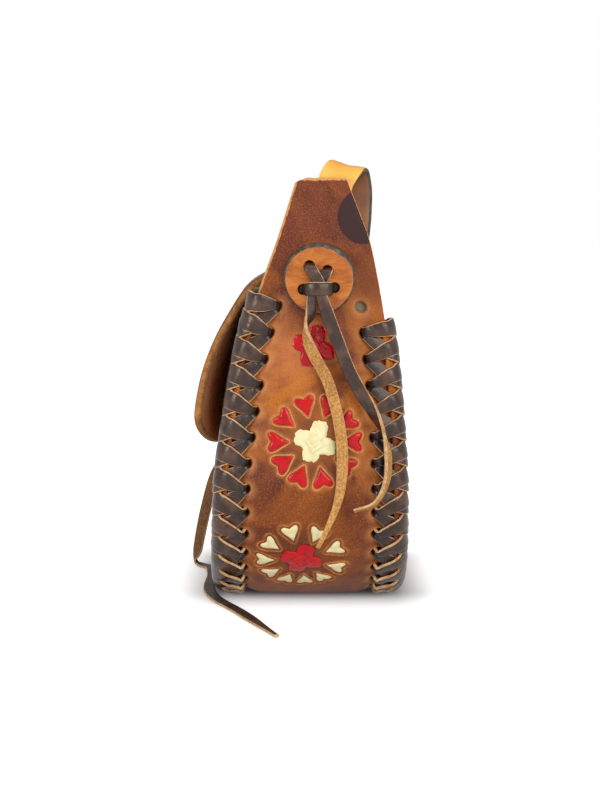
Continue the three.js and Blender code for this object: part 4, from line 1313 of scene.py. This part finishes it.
def button_wood():
    """Oiled wood: long grain lines across the face, a dark charred rim and painted shade in its holes."""
    f = Finish("button_wood", 0.34, 0.3)
    grain = f.noise(6, 5, 0.6, 0.8, (1.0, 0.6, 1.3))
    fine = f.noise(1.2, 3, 0.7, 0.0, (1.0, 0.25, 1.4))
    tone = f.sum(f.times(grain, 0.7), f.times(fine, 0.3))
    colour = f.ramp(tone, (0.34, rgb(140, 72, 24)), (0.5, rgb(180, 100, 36)), (0.66, rgb(200, 122, 52)))
    char = f.ramp(f.noise(2.5, 3), (0.35, rgb(34, 29, 26)), (0.68, rgb(92, 84, 76)))
    rim = f.band(f.sum(f.value("rim"), f.times(f.sum(f.noise(2.0, 3), -0.5), 0.5)), 0.4, 0.6)
    colour = f.mix(rim, colour, char)
    # Painted shade in the button's holes.
    colour = f.mix(f.value("pit"), colour, rgb(16, 11, 9))
    f.bump(fine, 0.12)
    return f.done(colour)


def smooth_strap(name, light, mid, dark):
    """Smooth strap leather: a waxed golden tan, with slow clouds and fine pores."""
    f = Finish(name)
    cloud = f.noise(18, 3)
    pore = f.noise(0.8, 2, 0.7)
    colour = f.ramp(f.sum(f.times(cloud, 0.8), f.times(pore, 0.2)), (0.34, dark), (0.5, mid), (0.64, light))
    f.bump(pore, 0.12)
    return f.done(colour, f.sum(0.4, f.times(pore, 0.25)))


# Stage

def white_seen(tree):
    """1 for what the camera sees, straight, in a reflection or through glass, and 0 for other light."""
    rays = tree.nodes.new("ShaderNodeLightPath").outputs
    seen = rays["Is Camera Ray"]
    for kind in ("Is Glossy Ray", "Is Transmission Ray"):
        either = tree.nodes.new("ShaderNodeMath")
        either.operation = "MAXIMUM"
        tree.links.new(seen, either.inputs[0])
        tree.links.new(rays[kind], either.inputs[1])
        seen = either.outputs[0]
    return seen


def make_floor():
    """A wide pale floor that reads as white, less so near the bag's flat bottom, where it keeps the shadow
    and its lower glow paints more shadow round it.

    Its glow depends on the distance from the bottom's rectangle, lowest there, and changes sooner sideways
    than along the bag."""
    corners = [(-1, -1), (1, -1), (1, 1), (-1, 1)]
    mesh = bpy.data.meshes.new("floor")
    mesh.from_pydata([(FLOOR_HALF * x, FLOOR_HALF * y, 0) for x, y in corners], [], [(0, 1, 2, 3)])
    f = Finish("pale_floor", 0.9)
    f.shader.inputs["Base Color"].default_value = (FLOOR_GREY, FLOOR_GREY, FLOOR_GREY, 1)
    f.shader.inputs["Emission Color"].default_value = (1, 1, 1, 1)
    axes = f.axes()
    past = [f.reckon("MAXIMUM", f.sum(f.reckon("ABSOLUTE", axes[axis]), -half / MM))
            for axis, half in (("X", FLAT_HALF), ("Y", HALF_DEPTH))]
    along = past[0]
    sideways = f.times(past[1], GLOW_SQUEEZE)
    away = f.reckon("POWER", f.sum(f.times(along, along), f.times(sideways, sideways)), 0.5)
    # Lower glow near the bag: a painted shadow on the floor round the bag's real one.
    shaded = f.sum(GLOW, f.times(f.reach(away, *GLOW_LOSS_PLACE), -GLOW_LOSS))
    glow = f.sum(shaded, f.times(f.reach(away, *GLOW_RISE_PLACE), GLOW_RISE))
    f.put(f.shader.inputs["Emission Strength"], f.times(white_seen(f.tree), glow))
    mesh.materials.append(f.material)
    floor = bpy.data.objects.new("floor", mesh)
    bpy.context.scene.collection.objects.link(floor)


def make_world():
    """A white room to the camera, and an even pale light to everything else."""
    world = bpy.data.worlds.new("studio")
    bpy.context.scene.world = world
    world.use_nodes = True
    tree = world.node_tree
    strength = tree.nodes.new("ShaderNodeMapRange")
    strength.inputs["To Min"].default_value = ROOM_LIGHT
    strength.inputs["To Max"].default_value = 1.0
    tree.links.new(white_seen(tree), strength.inputs["Value"])
    background = tree.nodes["Background"]
    background.inputs["Color"].default_value = (1, 1, 1, 1)
    tree.links.new(strength.outputs["Result"], background.inputs["Strength"])


def add_lamp(name, place, aim, size, power):
    """A square soft lamp at a place, turned to a point."""
    lamp = bpy.data.lights.new(name, "AREA")
    lamp.size = size
    lamp.energy = power
    holder = bpy.data.objects.new(name, lamp)
    bpy.context.scene.collection.objects.link(holder)
    direction = np.array(aim) - np.array(place)
    yaw = math.atan2(direction[0], -direction[1])
    pitch = math.atan2(math.hypot(direction[0], direction[1]), -direction[2])
    holder.location = place
    holder.rotation_euler = (pitch, 0, yaw + math.pi)


def make_camera():
    """The photograph's viewpoint: a little below the tab's top, looking slightly down at the bag's end."""
    camera = bpy.data.cameras.new("camera")
    camera.sensor_width = 36.0
    camera.lens = FOCAL_PIXELS / IMAGE_HEIGHT * camera.sensor_width
    camera.clip_start = 0.01
    holder = bpy.data.objects.new("camera", camera)
    holder.location = [v / MM for v in CAMERA_PLACE]
    holder.rotation_euler = (math.pi / 2 - CAMERA_PITCH, 0, math.pi / 2)
    bpy.context.scene.collection.objects.link(holder)
    bpy.context.scene.camera = holder


def make_stage():
    """Camera, room, floor and lamps."""
    bpy.context.scene.view_settings.view_transform = "Standard"
    make_camera()
    make_world()
    make_floor()
    for lamp in LAMPS:
        add_lamp(*lamp)


def make_bag():
    """Every finish, and then every piece of the bag."""
    gusset_leather = tooled_leather("gusset_leather", stained=True)
    panel_leather = tooled_leather("panel_leather")
    flesh = flesh_leather("flesh_side", rgb(112, 72, 40), rgb(66, 40, 24))
    # The flap's inner flesh side: much lighter than the other flesh, painted light for light that barely
    # reaches it.
    flap_flesh_painted_light = flesh_leather("flap_flesh_painted_light", rgb(250, 196, 132), rgb(206, 146, 90))
    raw_edge = cut_edge("raw_edge", rgb(204, 140, 66), rgb(146, 92, 40), rgb(104, 64, 34))
    rim = cut_edge("heart_rim", rgb(228, 152, 84), rgb(182, 106, 50))
    dark_rim = cut_edge("dark_heart_rim", rgb(200, 118, 54), rgb(138, 74, 34))
    pale_edge = cut_edge("pale_edge", rgb(228, 190, 140), rgb(178, 128, 82))
    lace = lace_grain("lace_grain", rgb(50, 31, 22), rgb(98, 68, 52))
    dull_lace = lace_grain("dull_lace_grain", rgb(48, 31, 23), rgb(86, 60, 46), 0.5)
    suede = flesh_leather("suede", rgb(222, 166, 92), rgb(160, 106, 52))
    brown_suede = flesh_leather("brown_suede", rgb(150, 104, 62), rgb(92, 60, 36))
    dark_flesh = flesh_leather("lace_flesh", rgb(96, 66, 46), rgb(56, 38, 28))
    red = glossy_paint("red_paint", rgb(202, 3, 16), rgb(156, 1, 14))
    cream = glossy_paint("cream_paint", rgb(240, 230, 180), rgb(222, 204, 142))
    # One tan strap leather as a lit and a shaded copy: painted light on its face, painted shade on its back.
    strap_face_painted_light = smooth_strap("strap_face_painted_light", rgb(252, 194, 94), rgb(246, 178, 72), rgb(226, 154, 56))
    strap_back_painted_shade = smooth_strap("strap_back_painted_shade", rgb(150, 90, 44), rgb(128, 72, 32), rgb(104, 56, 24))
    strap_edge = cut_edge("strap_edge", rgb(96, 90, 72), rgb(58, 52, 42))
    wood = button_wood()

    make_gusset([gusset_leather, flesh, pale_edge])
    make_paint([red, cream, rim, dark_rim])
    make_front_panel([panel_leather, flesh, raw_edge])
    make_back_and_flap([panel_leather, flap_flesh_painted_light, raw_edge])
    for side in (-1, 1):
        make_lacing(side, [lace, dark_flesh, pale_edge, panel_leather])
    for end, name in ((1, "right"), (-1, "left")):
        make_button(end, name, [wood])
        make_tie(end, name, [lace, dark_flesh, pale_edge])
        hanging_thong(f"{name}_long_thong", end, LONG_THONG, LONG_TWIST, LONG_WIDTH, STRIP_FACES,
                      [lace, suede, pale_edge])
        hanging_thong(f"{name}_short_thong", end, SHORT_THONG, SHORT_TWIST, SHORT_WIDTH, DYED_FACES,
                      [lace, suede, pale_edge])
    make_closure([brown_suede, dull_lace, pale_edge])
    make_strap([strap_back_painted_shade, strap_face_painted_light, strap_edge])


make_stage()
make_bag()
